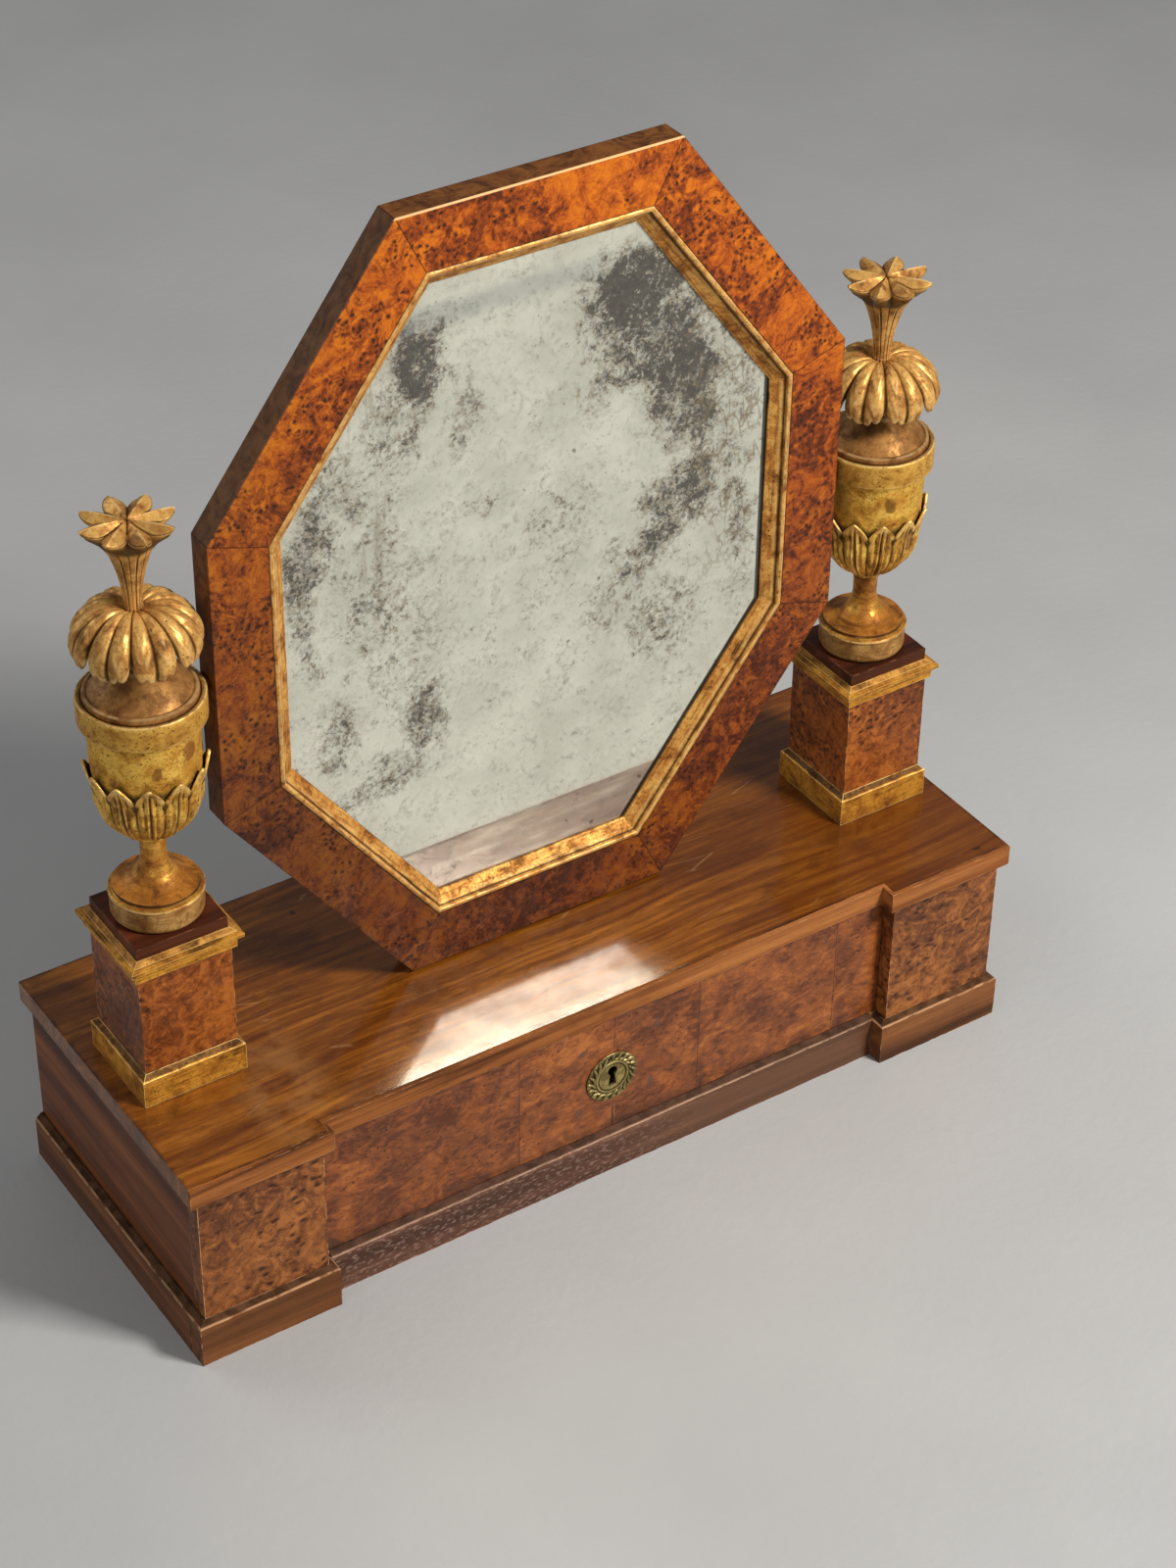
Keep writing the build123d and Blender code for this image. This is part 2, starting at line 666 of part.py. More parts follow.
def crown_outline(x):
    """Half section of the palm crown: a drooping shell about 3 mm thick round a solid middle."""
    shoulder = (28.4, 460.5)
    rim = (CROWN_R, CROWN_RIM_Z)
    rim_inside = (CROWN_R - 3.1, CROWN_RIM_Z)
    shoulder_inside = (26.3, 457.6)
    root = (NECK_R, CROWN_FOOT_Z + 5.0)
    with BuildSketch(facing_front(x, 0, 0)) as outline:
        with BuildLine():
            Polyline((0, CROWN_FOOT_Z), (0, CROWN_TOP_Z), (STEM_FOOT_R, CROWN_TOP_Z))
            ThreePointArc((STEM_FOOT_R, CROWN_TOP_Z), (16.0, 466.5), shoulder)
            ThreePointArc(shoulder, (35.2, 452.5), rim)
            Polyline(rim, (CROWN_R - 1.1, CROWN_TIP_Z), (CROWN_R - 3.9, CROWN_TIP_Z), rim_inside)
            ThreePointArc(rim_inside, (31.9, 451.2), shoulder_inside)
            ThreePointArc(shoulder_inside, (17.0, 463.0), root)
            Polyline(root, (NECK_R, CROWN_FOOT_Z), (0, CROWN_FOOT_Z))
        make_face()
    return outline.sketch


def stem_outline(x):
    """Half section of the trumpet stem and the hub of the star."""
    throat = (12.5, 501.0)
    with BuildSketch(facing_front(x, 0, 0)) as outline:
        with BuildLine():
            Line((0, CROWN_TOP_Z), (STEM_FOOT_R, CROWN_TOP_Z))
            ThreePointArc((STEM_FOOT_R, CROWN_TOP_Z), (6.9, 481.5), throat)
            Polyline(throat, (17.0, 507.5), (9.0, 516.0), (3.0, 518.5), (0, 518.5), (0, CROWN_TOP_Z))
        make_face()
    return outline.sketch


# Cutters for the carving, made about the Z axis and turned round each urn

outward = Plane(origin=(0, 0, 0), x_dir=(0, 1, 0), z_dir=(1, 0, 0))

with BuildPart() as leaf_notch:
    half_notch = [(9.7, 366.5), (4.4, 360.0)]
    notch = half_notch + [(0, LEAF_NOTCH_Z)] + [(-y, z) for y, z in reversed(half_notch)]
    extrude(polygon(outward.offset(15), notch), amount=30)

with BuildPart() as crown_notch:
    leaf_end = [(14.9, CROWN_TIP_Z - 3), (14.9, CROWN_TIP_Z), (9.6, 436.3), (8.3, 439.5)]
    lobe = [(7.0, 438.1), (3.6, 438.7), (1.6, 441.7)]
    edge = leaf_end + lobe
    edge = edge + [(0, CROWN_NOTCH_Z)] + [(-y, z) for y, z in reversed(edge)]
    extrude(polygon(outward.offset(26), edge), amount=20)

with BuildPart() as crown_groove:
    with BuildSketch(Plane.XZ):
        with BuildLine():
            ThreePointArc((7.0, 463.5), (16.0, 465.0), (27.4, 459.4))
            ThreePointArc((27.4, 459.4), (33.9, 451.6), (36.1, 442.3))
            Polyline((36.1, 442.3), (35.0, 433.5), (42.0, 433.5), (42.0, 471.0), (7.0, 471.0), (7.0, 463.5))
        make_face()
    revolve(axis=Axis.Z, revolution_arc=GROOVE_ARC)

with BuildPart() as stem_flute:
    with BuildSketch(Plane.XZ):
        with BuildLine():
            ThreePointArc((4.6, 465.5), (6.0, 481.5), (11.6, 501.0))
            Polyline((11.6, 501.0), (16.0, 507.5), (22.0, 503.0), (22.0, 465.5), (4.6, 465.5))
        make_face()
    revolve(axis=Axis.Z, revolution_arc=FLUTE_ARC)

with BuildPart() as star_ray:
    sections = []
    for r, half_w, ridge_z, edge_z, under_z in RAY_SECTIONS:
        kite = [(0, ridge_z), (half_w, edge_z), (0, under_z), (-half_w, edge_z)]
        sections.append(polygon(outward.offset(r), kite))
    loft(sections, ruled=True)

for side, sign in SIDES:
    x = sign * PEDESTAL_X
    spindle = Axis((x, 0, 0), (0, 0, 1))

    with BuildPart() as urn_foot:
        revolve(foot_outline(x), axis=spindle)
    save(urn_foot, f"urn_foot_{side}")

    with BuildPart() as urn_bowl:
        revolve(bowl_outline(x), axis=spindle)
        bore_x = sign * (PEDESTAL_X - BAND_R + PIVOT_IN_URN + BORE_END_ROOM)
        with BuildSketch(Plane(origin=(bore_x, 0, PIVOT_Z), z_dir=(-sign, 0, 0))):
            Circle(PIVOT_R + PIVOT_CLEARANCE)
        extrude(amount=PIVOT_IN_URN + 2 * BORE_END_ROOM, mode=Mode.SUBTRACT)
    save(urn_bowl, f"urn_bowl_{side}")

    with BuildPart() as urn_leaves:
        revolve(leaf_outline(x), axis=spindle)
        with Locations((x, 0, 0)):
            with PolarLocations(0, LEAF_COUNT, start_angle=LEAF_TURN + 180 / LEAF_COUNT):
                add(leaf_notch.part, mode=Mode.SUBTRACT)
    save(urn_leaves, f"urn_leaves_{side}")

    with BuildPart() as urn_lid:
        revolve(lid_outline(x), axis=spindle)
    save(urn_lid, f"urn_lid_{side}")

    with BuildPart() as palm_crown:
        revolve(crown_outline(x), axis=spindle)
        with Locations((x, 0, 0)):
            with PolarLocations(0, CROWN_LEAVES, start_angle=CROWN_TURN + 180 / CROWN_LEAVES):
                add(crown_notch.part, mode=Mode.SUBTRACT)
            with PolarLocations(0, 2 * CROWN_LEAVES, start_angle=CROWN_TURN - GROOVE_ARC / 2):
                add(crown_groove.part, mode=Mode.SUBTRACT)
    save(palm_crown, f"palm_crown_{side}")

    with BuildPart() as star_finial:
        revolve(stem_outline(x), axis=spindle)
        with Locations((x, 0, 0)):
            with PolarLocations(0, STAR_RAYS, start_angle=STAR_TURN - FLUTE_ARC / 2):
                add(stem_flute.part, mode=Mode.SUBTRACT)
            with PolarLocations(0, STAR_RAYS, start_angle=STAR_TURN):
                add(star_ray.part)
    save(star_finial, f"star_finial_{side}")

# Mirror: eight mitred members, a gilt slip, the glass and its backboard, all hung on two pins

MEMBERS = (
    "frame_top",
    "frame_corner_top_right",
    "frame_right",
    "frame_corner_bottom_right",
    "frame_bottom",
    "frame_corner_bottom_left",
    "frame_left",
    "frame_corner_top_left",
)


def octagon(inset):
    """Corners of the frame's outline moved inwards, about the pivot, clockwise from the top left."""
    half_w = FRAME_HALF_W - inset
    half_h = FRAME_HALF_H - inset
    slant = hypot(CORNER_X, CORNER_Z)
    reach = CORNER_Z * FRAME_HALF_W + CORNER_X * FRAME_HALF_H - CORNER_X * CORNER_Z - inset * slant
    top_x = (reach - CORNER_X * half_h) / CORNER_Z
    side_z = (reach - CORNER_Z * half_w) / CORNER_X
    right = [(top_x, half_h), (half_w, side_z), (half_w, -side_z), (top_x, -half_h)]
    return [(-top_x, half_h)] + right + [(-top_x, -half_h), (-half_w, -side_z), (-half_w, side_z)]


def mitred(y, outer, inner, index):
    """One side of the octagon between two insets, cut at both mitres."""
    far = octagon(outer)
    near = octagon(inner)
    following = (index + 1) % len(MEMBERS)
    corners = [far[index], far[following], near[following], near[index]]
    return polygon(facing_front(0, y, PIVOT_Z), corners)


def run_of(index):
    """Start, length, direction and inward normal of one side of the frame, as (x, z) pairs."""
    start = octagon(0)[index]
    end = octagon(0)[(index + 1) % len(MEMBERS)]
    length = hypot(end[0] - start[0], end[1] - start[1])
    along = ((end[0] - start[0]) / length, (end[1] - start[1]) / length)
    return start, length, along, (along[1], -along[0])


def brad_shanks(index):
    """The two brads of one member: they lie behind the backboard and point outwards."""
    start, length, along, inward = run_of(index)
    shanks = []
    for share in BRAD_SHARES:
        run = length * share
        sink = REBATE_W + BRAD_SHOWS
        brad_x = start[0] + along[0] * run + inward[0] * sink
        brad_z = PIVOT_Z + start[1] + along[1] * run + inward[1] * sink
        brad_y = GLASS_Y + GLASS_T + BACKBOARD_T + BRAD_R
        plane = Plane(origin=(brad_x, brad_y, brad_z), z_dir=(-inward[0], 0, -inward[1]))
        with BuildSketch(plane) as shank:
            Circle(BRAD_R)
        shanks.append(shank.sketch)
    return shanks


def pivot_face(sign, x, radius):
    """A round face across the pivot axis, facing away from the glass."""
    with BuildSketch(Plane(origin=(sign * x, 0, PIVOT_Z), z_dir=(sign, 0, 0))) as face:
        Circle(radius)
    return face.sketch


def slip_section(index):
    """Section of the sight slip: a bead at the veneer, then a slope down to the glass."""
    start, length, along, inward = run_of(index)
    plane = Plane(
        origin=(start[0], 0, PIVOT_Z + start[1]),
        x_dir=(inward[0], 0, inward[1]),
        z_dir=(along[0], 0, along[1]),
    )
    outer = BAND_W + SLIP_GAP
    inner = BAND_W + SLIP_W
    with BuildSketch(plane) as section:
        with BuildLine():
            Line((outer, GLASS_Y), (outer, SLIP_BEAD_Y + 1.3))
            ThreePointArc(
                (outer, SLIP_BEAD_Y + 1.3), (outer + 1.7, SLIP_BEAD_Y), (outer + 3.4, SLIP_BEAD_Y + 1.8)
            )
            Polyline(
                (outer + 3.4, SLIP_BEAD_Y + 1.8),
                (outer + 3.6, SLIP_BEAD_Y + 2.6),
                (inner, GLASS_Y - 1.2),
                (inner, GLASS_Y),
                (outer, GLASS_Y),
            )
        make_face()
    return section.sketch


for index, name in enumerate(MEMBERS):
    with BuildPart() as member:
        extrude(mitred(FRAME_BACK_Y, 0, REBATE_W, index), amount=FRAME_BACK_Y - GLASS_Y)
        extrude(mitred(GLASS_Y, 0, BAND_W, index), amount=GLASS_Y - FRAME_FRONT_Y)
        front_edges = member.edges().group_by(Axis.Y)[0]
        fillet(front_edges.sort_by_distance((0, FRAME_FRONT_Y, PIVOT_Z))[-1], ARRIS_R)
        for shank in brad_shanks(index):
            extrude(shank, amount=BRAD_LENGTH, mode=Mode.SUBTRACT)
        if name in ("frame_left", "frame_right"):
            sign = 1 if name == "frame_right" else -1
            hole = pivot_face(sign, FRAME_HALF_W - PIVOT_IN_FRAME, PIVOT_R)
            extrude(hole, amount=PIVOT_IN_FRAME, mode=Mode.SUBTRACT)
    save(member, name)

slip_lengths = []
for index in range(len(MEMBERS)):
    with BuildPart() as slip_length:
        extrude(slip_section(index), amount=run_of(index)[1])
        cutter = mitred(GLASS_Y, BAND_W + SLIP_GAP, BAND_W + SLIP_W, index)
        extrude(cutter, amount=GLASS_Y - SLIP_BEAD_Y, mode=Mode.INTERSECT)
    slip_lengths.append(slip_length.part.solid())
save_group(slip_lengths, "sight_slip")

with BuildPart() as mirror_glass:
    outline = polygon(facing_front(0, GLASS_Y, PIVOT_Z), octagon(REBATE_W + GLASS_CLEARANCE))
    extrude(outline, amount=-GLASS_T)
save(mirror_glass, "mirror_glass")

with BuildPart() as backboard:
    outline = polygon(facing_front(0, GLASS_Y + GLASS_T, PIVOT_Z), octagon(REBATE_W + GLASS_CLEARANCE))
    extrude(outline, amount=-BACKBOARD_T)
save(backboard, "backboard")

with BuildPart() as backboard_brads:
    for index in range(len(MEMBERS)):
        for shank in brad_shanks(index):
            extrude(shank, amount=BRAD_LENGTH)
save(backboard_brads, "backboard_brads")

pivot_span = PIVOT_IN_FRAME + (PEDESTAL_X - BAND_R - FRAME_HALF_W) + PIVOT_IN_URN
with BuildPart() as pivot_pins:
    for side, sign in SIDES:
        extrude(pivot_face(sign, FRAME_HALF_W - PIVOT_IN_FRAME, PIVOT_R), amount=pivot_span)
        extrude(pivot_face(sign, FRAME_HALF_W, SHOULDER_R), amount=SHOULDER_T)
save(pivot_pins, "pivot_pins")
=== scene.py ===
# %% Load the CAD frame
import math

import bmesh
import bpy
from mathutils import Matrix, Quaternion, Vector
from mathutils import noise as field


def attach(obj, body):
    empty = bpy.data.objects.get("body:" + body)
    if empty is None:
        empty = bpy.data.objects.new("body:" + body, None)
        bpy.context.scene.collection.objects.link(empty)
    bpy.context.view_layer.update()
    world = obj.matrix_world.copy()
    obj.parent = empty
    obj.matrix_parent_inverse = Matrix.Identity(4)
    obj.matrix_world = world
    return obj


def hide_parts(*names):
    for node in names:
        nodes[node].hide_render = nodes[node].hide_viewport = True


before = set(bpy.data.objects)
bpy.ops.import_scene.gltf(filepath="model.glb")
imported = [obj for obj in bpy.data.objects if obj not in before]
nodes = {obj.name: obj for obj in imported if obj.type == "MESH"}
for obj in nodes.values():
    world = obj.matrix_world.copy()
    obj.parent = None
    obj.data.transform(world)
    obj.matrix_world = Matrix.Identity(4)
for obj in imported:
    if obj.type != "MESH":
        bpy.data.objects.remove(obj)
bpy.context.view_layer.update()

# %% [markdown]
# # A burr walnut and gilt table mirror
# The CAD model already has every separate piece of the mirror in its place. This file dresses it.
# Pieces whose shape is plain joinery inside the case keep their CAD mesh and only get a good wood.
# Pieces that the eye dwells on, such as carved leaves and worn edges, are made again here, on the same
# measures, with the softness that a saw, a gouge and two hundred years of dusting leave behind.

MM = 0.001
# Measures that finishes and pieces share (mm): the mirror's pivot and the middle of a pedestal
PIVOT_Z = 401.0
PEDESTAL_X = 254.0

# %% [markdown]
# ## Camera
# A camera that matches a photograph needs three things: where it stood, what it was aimed at, and how
# long its lens was. They were worked out from the straight edges of the case. The lens is given here
# as a focal length in picture heights, so that it holds for any picture size.

# %% Set up the camera
CAMERA_PLACE = Vector((-0.9068, -1.4153, 1.4971))
CAMERA_AIM = Vector((0.0439, 0.0, 0.2247))
CAMERA_ROLL = math.radians(0.854)
FOCAL_IN_HEIGHTS = 2.1814
SENSOR_MM = 36.0

camera_data = bpy.data.cameras.new("camera")
camera_data.sensor_width = SENSOR_MM
camera_data.lens = SENSOR_MM * FOCAL_IN_HEIGHTS
camera = bpy.data.objects.new("camera", camera_data)
bpy.context.scene.collection.objects.link(camera)
camera.location = CAMERA_PLACE
camera.rotation_mode = "QUATERNION"
aimed = (CAMERA_AIM - CAMERA_PLACE).to_track_quat("-Z", "Y")
camera.rotation_quaternion = aimed @ Quaternion((0, 0, 1), CAMERA_ROLL)
bpy.context.scene.camera = camera
print("lens in mm:", round(camera_data.lens, 1))

# %% [markdown]
# ## Wiring nodes from Python
# Materials and Geometry Nodes are both trees of small boxes joined by links. Clicking them together is
# fine for one, but a dozen finishes are easier to keep alike when a short helper adds a box, fills in
# its sockets and hands back its output. A socket takes either a number or another box's output.


# %% A helper that adds and joins nodes
class Wiring:
    """A node tree under construction."""

    def __init__(self, tree):
        self.tree = tree

    def feed(self, socket, value):
        if isinstance(value, bpy.types.NodeSocket):
            self.tree.links.new(value, socket)
        else:
            socket.default_value = value

    def add(self, kind, sockets=None, **settings):
        node = self.tree.nodes.new(kind)
        for name, value in settings.items():
            setattr(node, name, value)
        for name, value in (sockets or {}).items():
            self.feed(node.inputs[name], value)
        return node

    def out(self, kind, sockets=None, **settings):
        """The first output of a new node."""
        return self.add(kind, sockets, **settings).outputs[0]

    def maths(self, operation, first, second=0.0):
        return self.out("ShaderNodeMath", {0: first, 1: second}, operation=operation)

    def plus(self, first, second):
        return self.maths("ADD", first, second)

    def minus(self, first, second):
        return self.maths("SUBTRACT", first, second)

    def vector_maths(self, operation, first, second):
        return self.out("ShaderNodeVectorMath", {0: first, 1: second}, operation=operation)

    def scaled(self, vector, amount):
        return self.out("ShaderNodeVectorMath", {0: vector, "Scale": amount}, operation="SCALE")


# %% [markdown]
# ## A kitchen for finishes
# Every finish starts from the piece's own Object coordinates, in metres, so a pattern keeps its real
# size and travels with the piece. On top of `Wiring` the class below knows a few words of a polisher's
# language: clouds of colour, spots, a fade between two levels, a mark painted on the mesh, and relief.
# It also remembers the colour so far, and `lay` puts the next thin layer of paint over it.


# %% A helper for finishes
def paint(red, green, blue):
    """A screen colour (0-255) as the linear colour that shaders use."""
    channels = []
    for value in (red, green, blue):
        share = value / 255
        channels.append(share / 12.92 if share <= 0.04045 else ((share + 0.055) / 1.055) ** 2.4)
    return (*channels, 1.0)


AMBER = paint(255, 226, 190)
WHITE = (1.0, 1.0, 1.0, 1.0)


class Finish(Wiring):
    """A material under construction."""

    def __init__(self, name):
        self.material = bpy.data.materials.new(name)
        self.material.use_nodes = True
        super().__init__(self.material.node_tree)
        self.shader = self.tree.nodes["Principled BSDF"]
        self.place = self.add("ShaderNodeTexCoord").outputs["Object"]
        self.colour = None
        self.height = None

    def axes(self, at=None):
        """The x, y and z of a place."""
        return self.add("ShaderNodeSeparateXYZ", {0: at or self.place}).outputs

    def mark(self, name):
        """A number painted on the mesh; it reads 0 where the mesh has none."""
        return self.add("ShaderNodeAttribute", attribute_name=name).outputs["Fac"]

    def own_sheet(self):
        """Object coordinates, moved far along for each separate sheet of veneer."""
        step = self.scaled((0.37, 0.21, 0.29), self.mark("sheet"))
        return self.vector_maths("ADD", self.place, step)

    def stretched(self, scale, at=None, turn=(0, 0, 0)):
        sockets = {"Vector": at or self.place, "Scale": scale, "Rotation": turn}
        return self.out("ShaderNodeMapping", sockets)

    def clouds(self, scale, at=None, detail=4.0, roughness=0.55, distortion=0.0):
        sockets = {"Vector": at or self.place, "Scale": scale, "Detail": detail}
        sockets.update({"Roughness": roughness, "Distortion": distortion})
        return self.out("ShaderNodeTexNoise", sockets)

    def wobbled(self, at, scale, amount):
        """Coordinates pushed about by noise, so that a pattern loses its regularity."""
        push = self.add("ShaderNodeTexNoise", {"Vector": at, "Scale": scale, "Detail": 2.0}).outputs[1]
        centred = self.vector_maths("SUBTRACT", push, (0.5, 0.5, 0.5))
        return self.vector_maths("ADD", at, self.scaled(centred, amount))

    def spots(self, scale, at, least):
        """The distance to the nearest of many points, and 1 round those whose number is over least."""
        cells = self.add("ShaderNodeTexVoronoi", {"Vector": at, "Scale": scale})
        return cells.outputs["Distance"], self.maths("GREATER_THAN", cells.outputs["Color"], least)

    def borders(self, scale, at):
        """The distance to the nearest border between cells."""
        sockets = {"Vector": at, "Scale": scale}
        return self.out("ShaderNodeTexVoronoi", sockets, feature="DISTANCE_TO_EDGE")

    def fade(self, value, low, high):
        """0 below low, 1 above high and smooth between; low may be the larger one."""
        sockets = {"Value": value, "From Min": low, "From Max": high}
        return self.out("ShaderNodeMapRange", sockets, interpolation_type="SMOOTHSTEP")

    def blotches(self, low, high, scale, at=None, **more):
        """Clouds faded between two levels."""
        return self.fade(self.clouds(scale, at, **more), low, high)

    def both(self, *values):
        product = values[0]
        for value in values[1:]:
            product = self.maths("MULTIPLY", product, value)
        return product

    def either(self, first, second):
        return self.maths("MAXIMUM", first, second)

    def rest(self, value):
        """What a value leaves of 1."""
        return self.minus(1.0, value)

    def oval(self, x, z, spot, outer=1.25, inner=0.75):
        """1 inside an upright oval given as (x, z, half width, half height) in mm."""
        across = self.maths("DIVIDE", self.minus(x, spot[0] * MM), spot[2] * MM)
        upward = self.maths("DIVIDE", self.minus(z, spot[1] * MM), spot[3] * MM)
        squares = self.plus(self.both(across, across), self.both(upward, upward))
        return self.fade(squares, outer, inner)

    def ramp(self, value, *stops, interpolation="LINEAR"):
        node = self.add("ShaderNodeValToRGB", {"Fac": value})
        node.color_ramp.interpolation = interpolation
        while len(node.color_ramp.elements) < len(stops):
            node.color_ramp.elements.new(1.0)
        for element, (position, colour) in zip(node.color_ramp.elements, stops):
            element.position = position
            element.color = colour
        return node.outputs[0]

    def blend(self, factor, first, second, kind="MIX"):
        node = self.add("ShaderNodeMix", data_type="RGBA", blend_type=kind)
        self.feed(node.inputs[0], factor)
        self.feed(node.inputs[6], first)
        self.feed(node.inputs[7], second)
        return node.outputs[2]

    def lay(self, tone, *amounts, kind="MIX"):
        """Lays a tone over the colour so far, by the product of the amounts."""
        self.colour = self.blend(self.both(*amounts), self.colour, tone, kind)

    def raise_by(self, value, depth_mm):
        """Adds to the relief: value 0-1 stands for depth_mm."""
        layer = self.maths("MULTIPLY", value, depth_mm * MM)
        self.height = layer if self.height is None else self.plus(self.height, layer)

    def sink_by(self, value, depth_mm):
        self.raise_by(self.rest(value), depth_mm)

    def done(self, roughness, metal=0.0, coat=0.0, coat_roughness=0.2, shine=0.28, glint=AMBER):
        """Joins the finish up; shine is the strength of plain reflections, glint their colour."""
        inputs = self.shader.inputs
        for name, value in (("Base Color", self.colour), ("Roughness", roughness), ("Metallic", metal)):
            self.feed(inputs[name], value)
        inputs["Coat Weight"].default_value = coat
        inputs["Coat Roughness"].default_value = coat_roughness
        inputs["Specular IOR Level"].default_value = shine
        inputs["Specular Tint"].default_value = glint
        if self.height is not None:
            bump = self.out("ShaderNodeBump", {"Height": self.height, "Strength": 1.0, "Distance": 1.0})
            self.tree.links.new(bump, inputs["Normal"])
        return self.material


# %% [markdown]
# ## Burr walnut
# A burr is a knobbly outgrowth, so its veneer shows no straight grain: soft clouds of orange and red
# brown, a swirling figure, and crowds of small dark eyes, each with a halo. Clouds come from noise,
# eyes from Voronoi cells of which only some, and only in crowded places, are allowed to show. Every
# sheet of veneer has its own number, which moves the pattern along, so that neighbours never match.


# %% Burr veneer
EYE_INK = paint(46, 18, 8)
# Multiplied over the frame's face: darker and redder downwards, partly its own colour and partly painted
# shade; cooler and a little darker on the left, as painted shade
TONE_AND_SHADE_BELOW = paint(164, 172, 255)
SHADE_ON_LEFT = paint(232, 246, 255)
# Where the frame's face veneer ends behind, and where its top edge begins, along which a highlight is
# painted
VENEER_END = (-12.6 * MM, -12.0 * MM)
TOP_EDGE = (656.9 * MM, 657.5 * MM)


def burr_veneer(name, pale, warm, deep, eyes, strokes=1.0, figure=50, eye_cells=250, framed=False):
    """Strokes below 1 draws the eyes out; figure and eye_cells are smaller for larger ones.

    framed is for the mirror frame, which darkens downwards, partly in its own colour and partly as
    painted shade, takes painted shade on the left and a painted highlight along its top edge, and is
    plain walnut behind.
    """
    mix = Finish(name)
    x, y, z = mix.axes()
    at = mix.own_sheet()
    flames = mix.clouds(figure, at, detail=9, roughness=0.64, distortion=2.2)
    curls = mix.clouds(150, mix.wobbled(at, 45, 0.03), detail=6, roughness=0.6, distortion=2.0)
    curl_share = 0.32 if framed else 0.26
    fine = mix.plus(mix.both(flames, 0.46), mix.both(curls, curl_share))
    body = mix.plus(mix.both(mix.clouds(10, at, detail=2), 0.54 - curl_share), fine)
    mix.colour = mix.ramp(body, (0.415, deep), (0.495, warm), (0.59, pale))
    crowd = mix.blotches(0.60 - 0.2 * eyes, 0.68 - 0.2 * eyes, 24, at, roughness=0.6)
    mix.lay(deep, crowd, mix.fade(body, 0.56, 0.46), 0.4)

    slanting = mix.stretched((strokes, 1.0, 1.0), at, (0, 0.6, 0))
    away, chosen = mix.spots(eye_cells, mix.wobbled(slanting, 260, 0.0038), 0.38)
    core = mix.both(mix.fade(away, 0.38, 0.19), chosen, crowd)
    mix.lay(deep, mix.fade(away, 0.64, 0.34), chosen, crowd, 0.5)
    mix.lay(EYE_INK, core, 0.9)
    mix.lay(EYE_INK, mix.blotches(0.64, 0.72, 1100, at, detail=2), 0.45)
    dull = mix.plus(0.36, mix.both(mix.blotches(0.35, 0.7, 90), 0.16))

    edge = mix.mark("arris")
    if framed:
        # Darker and redder downwards, less so to the right: partly own colour, partly painted shade. Cooler
        # and darker on the left: painted shade.
        share_darkened_below = mix.rest(mix.both(mix.fade(x, 0.0, 0.18), 0.35))
        mix.lay(TONE_AND_SHADE_BELOW, mix.fade(z, 0.60, 0.26), share_darkened_below, kind="MULTIPLY")
        mix.lay(SHADE_ON_LEFT, mix.fade(x, -0.06, -0.20), 0.8, kind="MULTIPLY")
        behind = mix.fade(y, *VENEER_END)
        plain = mix.ramp(flames, (0.40, paint(66, 38, 16)), (0.60, paint(106, 68, 32)))
        mix.lay(plain, behind, 0.9)
        dull = mix.plus(dull, mix.both(behind, 0.22))
        grime = mix.fade(edge, 0.84, 0.97)
        # A painted highlight along the top front edge of the frame
        rubbed = mix.both(mix.fade(z, *TOP_EDGE), mix.fade(y, *VENEER_END[::-1]))
    else:
        grime = mix.both(mix.fade(edge, 0.72, 0.95), mix.blotches(0.44, 0.56, 60, detail=5))
        rubbed = mix.both(mix.fade(edge, 0.86, 1.0), mix.blotches(0.44, 0.56, 90), 0.8)
    mix.lay(paint(44, 20, 9), grime, 0.75)
    # Pale: on the frame a painted highlight along the top edge, on other veneers rubbed edges
    mix.lay(paint(250, 196, 136), rubbed)

    mix.raise_by(mix.clouds(34, at, detail=2), 0.22)
    mix.raise_by(flames, 0.08)
    mix.sink_by(core, 0.09)
    mix.raise_by(mix.clouds(700, at, detail=3), 0.03)
    return mix.done(dull, coat=0.05, coat_roughness=0.3)


frame_burr = burr_veneer(
    "frame_burr", paint(202, 108, 18), paint(166, 76, 18), paint(86, 32, 10), 0.8,
    eye_cells=268, framed=True,
)
wing_burr = burr_veneer(
    "wing_burr", paint(168, 103, 50), paint(131, 75, 36), paint(80, 41, 22), 0.85, 0.55,
    figure=64, eye_cells=225,
)
die_burr = burr_veneer(
    "die_burr", paint(172, 98, 38), paint(130, 66, 25), paint(80, 38, 16), 0.75, 0.7, figure=80
)
print("burr finishes:", frame_burr.name, wing_burr.name, die_burr.name)

# %% [markdown]
# ## Sawn wood
# Straight grain is noise that has been stretched along the board. Three layers are enough: broad bands
# from the growth rings, fine fibres, and short dark pores. One recipe then serves the walnut board, the
# oak drawer sides and the pine of the parts that nobody was meant to see.


# %% Straight-grained wood
# The plinth's long bevel: where its darker tone begins, where a worn line runs, and where chips end
BEVEL_DARKENING = (29.9 * MM, 30.5 * MM)
BEVEL_LINE = ((29.0 * MM, 29.5 * MM), (30.6 * MM, 30.0 * MM))
BEVEL_CHIPS = (32.0 * MM, 31.0 * MM)


def grain_layers(mix, along, fineness, bend=0.6, at=None):
    """Bands, fibres and pores of a board whose grain runs along X, Y or Z."""

    def pulled(share):
        return tuple(share if axis == along else 1.0 for axis in "XYZ")

    wavy = mix.wobbled(at or mix.place, 5, 0.012 * bend)
    bands = mix.clouds(62 * fineness, mix.stretched(pulled(0.05), wavy), detail=5, distortion=bend)
    fibres = mix.clouds(520 * fineness, mix.stretched(pulled(0.03), wavy), detail=3)
    pores = mix.clouds(1200 * fineness, mix.stretched(pulled(0.045), wavy), detail=2)
    return bands, fibres, mix.fade(pores, 0.60, 0.70)


def darkened_bevel(mix, dark, pale):
    """Lays a darker, clouded tone on the plinth's bevel and returns where it lies."""
    slope = mix.fade(mix.axes()[2], *BEVEL_DARKENING)
    mix.lay(mix.ramp(mix.clouds(120, detail=5), (0.40, dark), (0.62, pale)), slope, 0.85)
    return slope


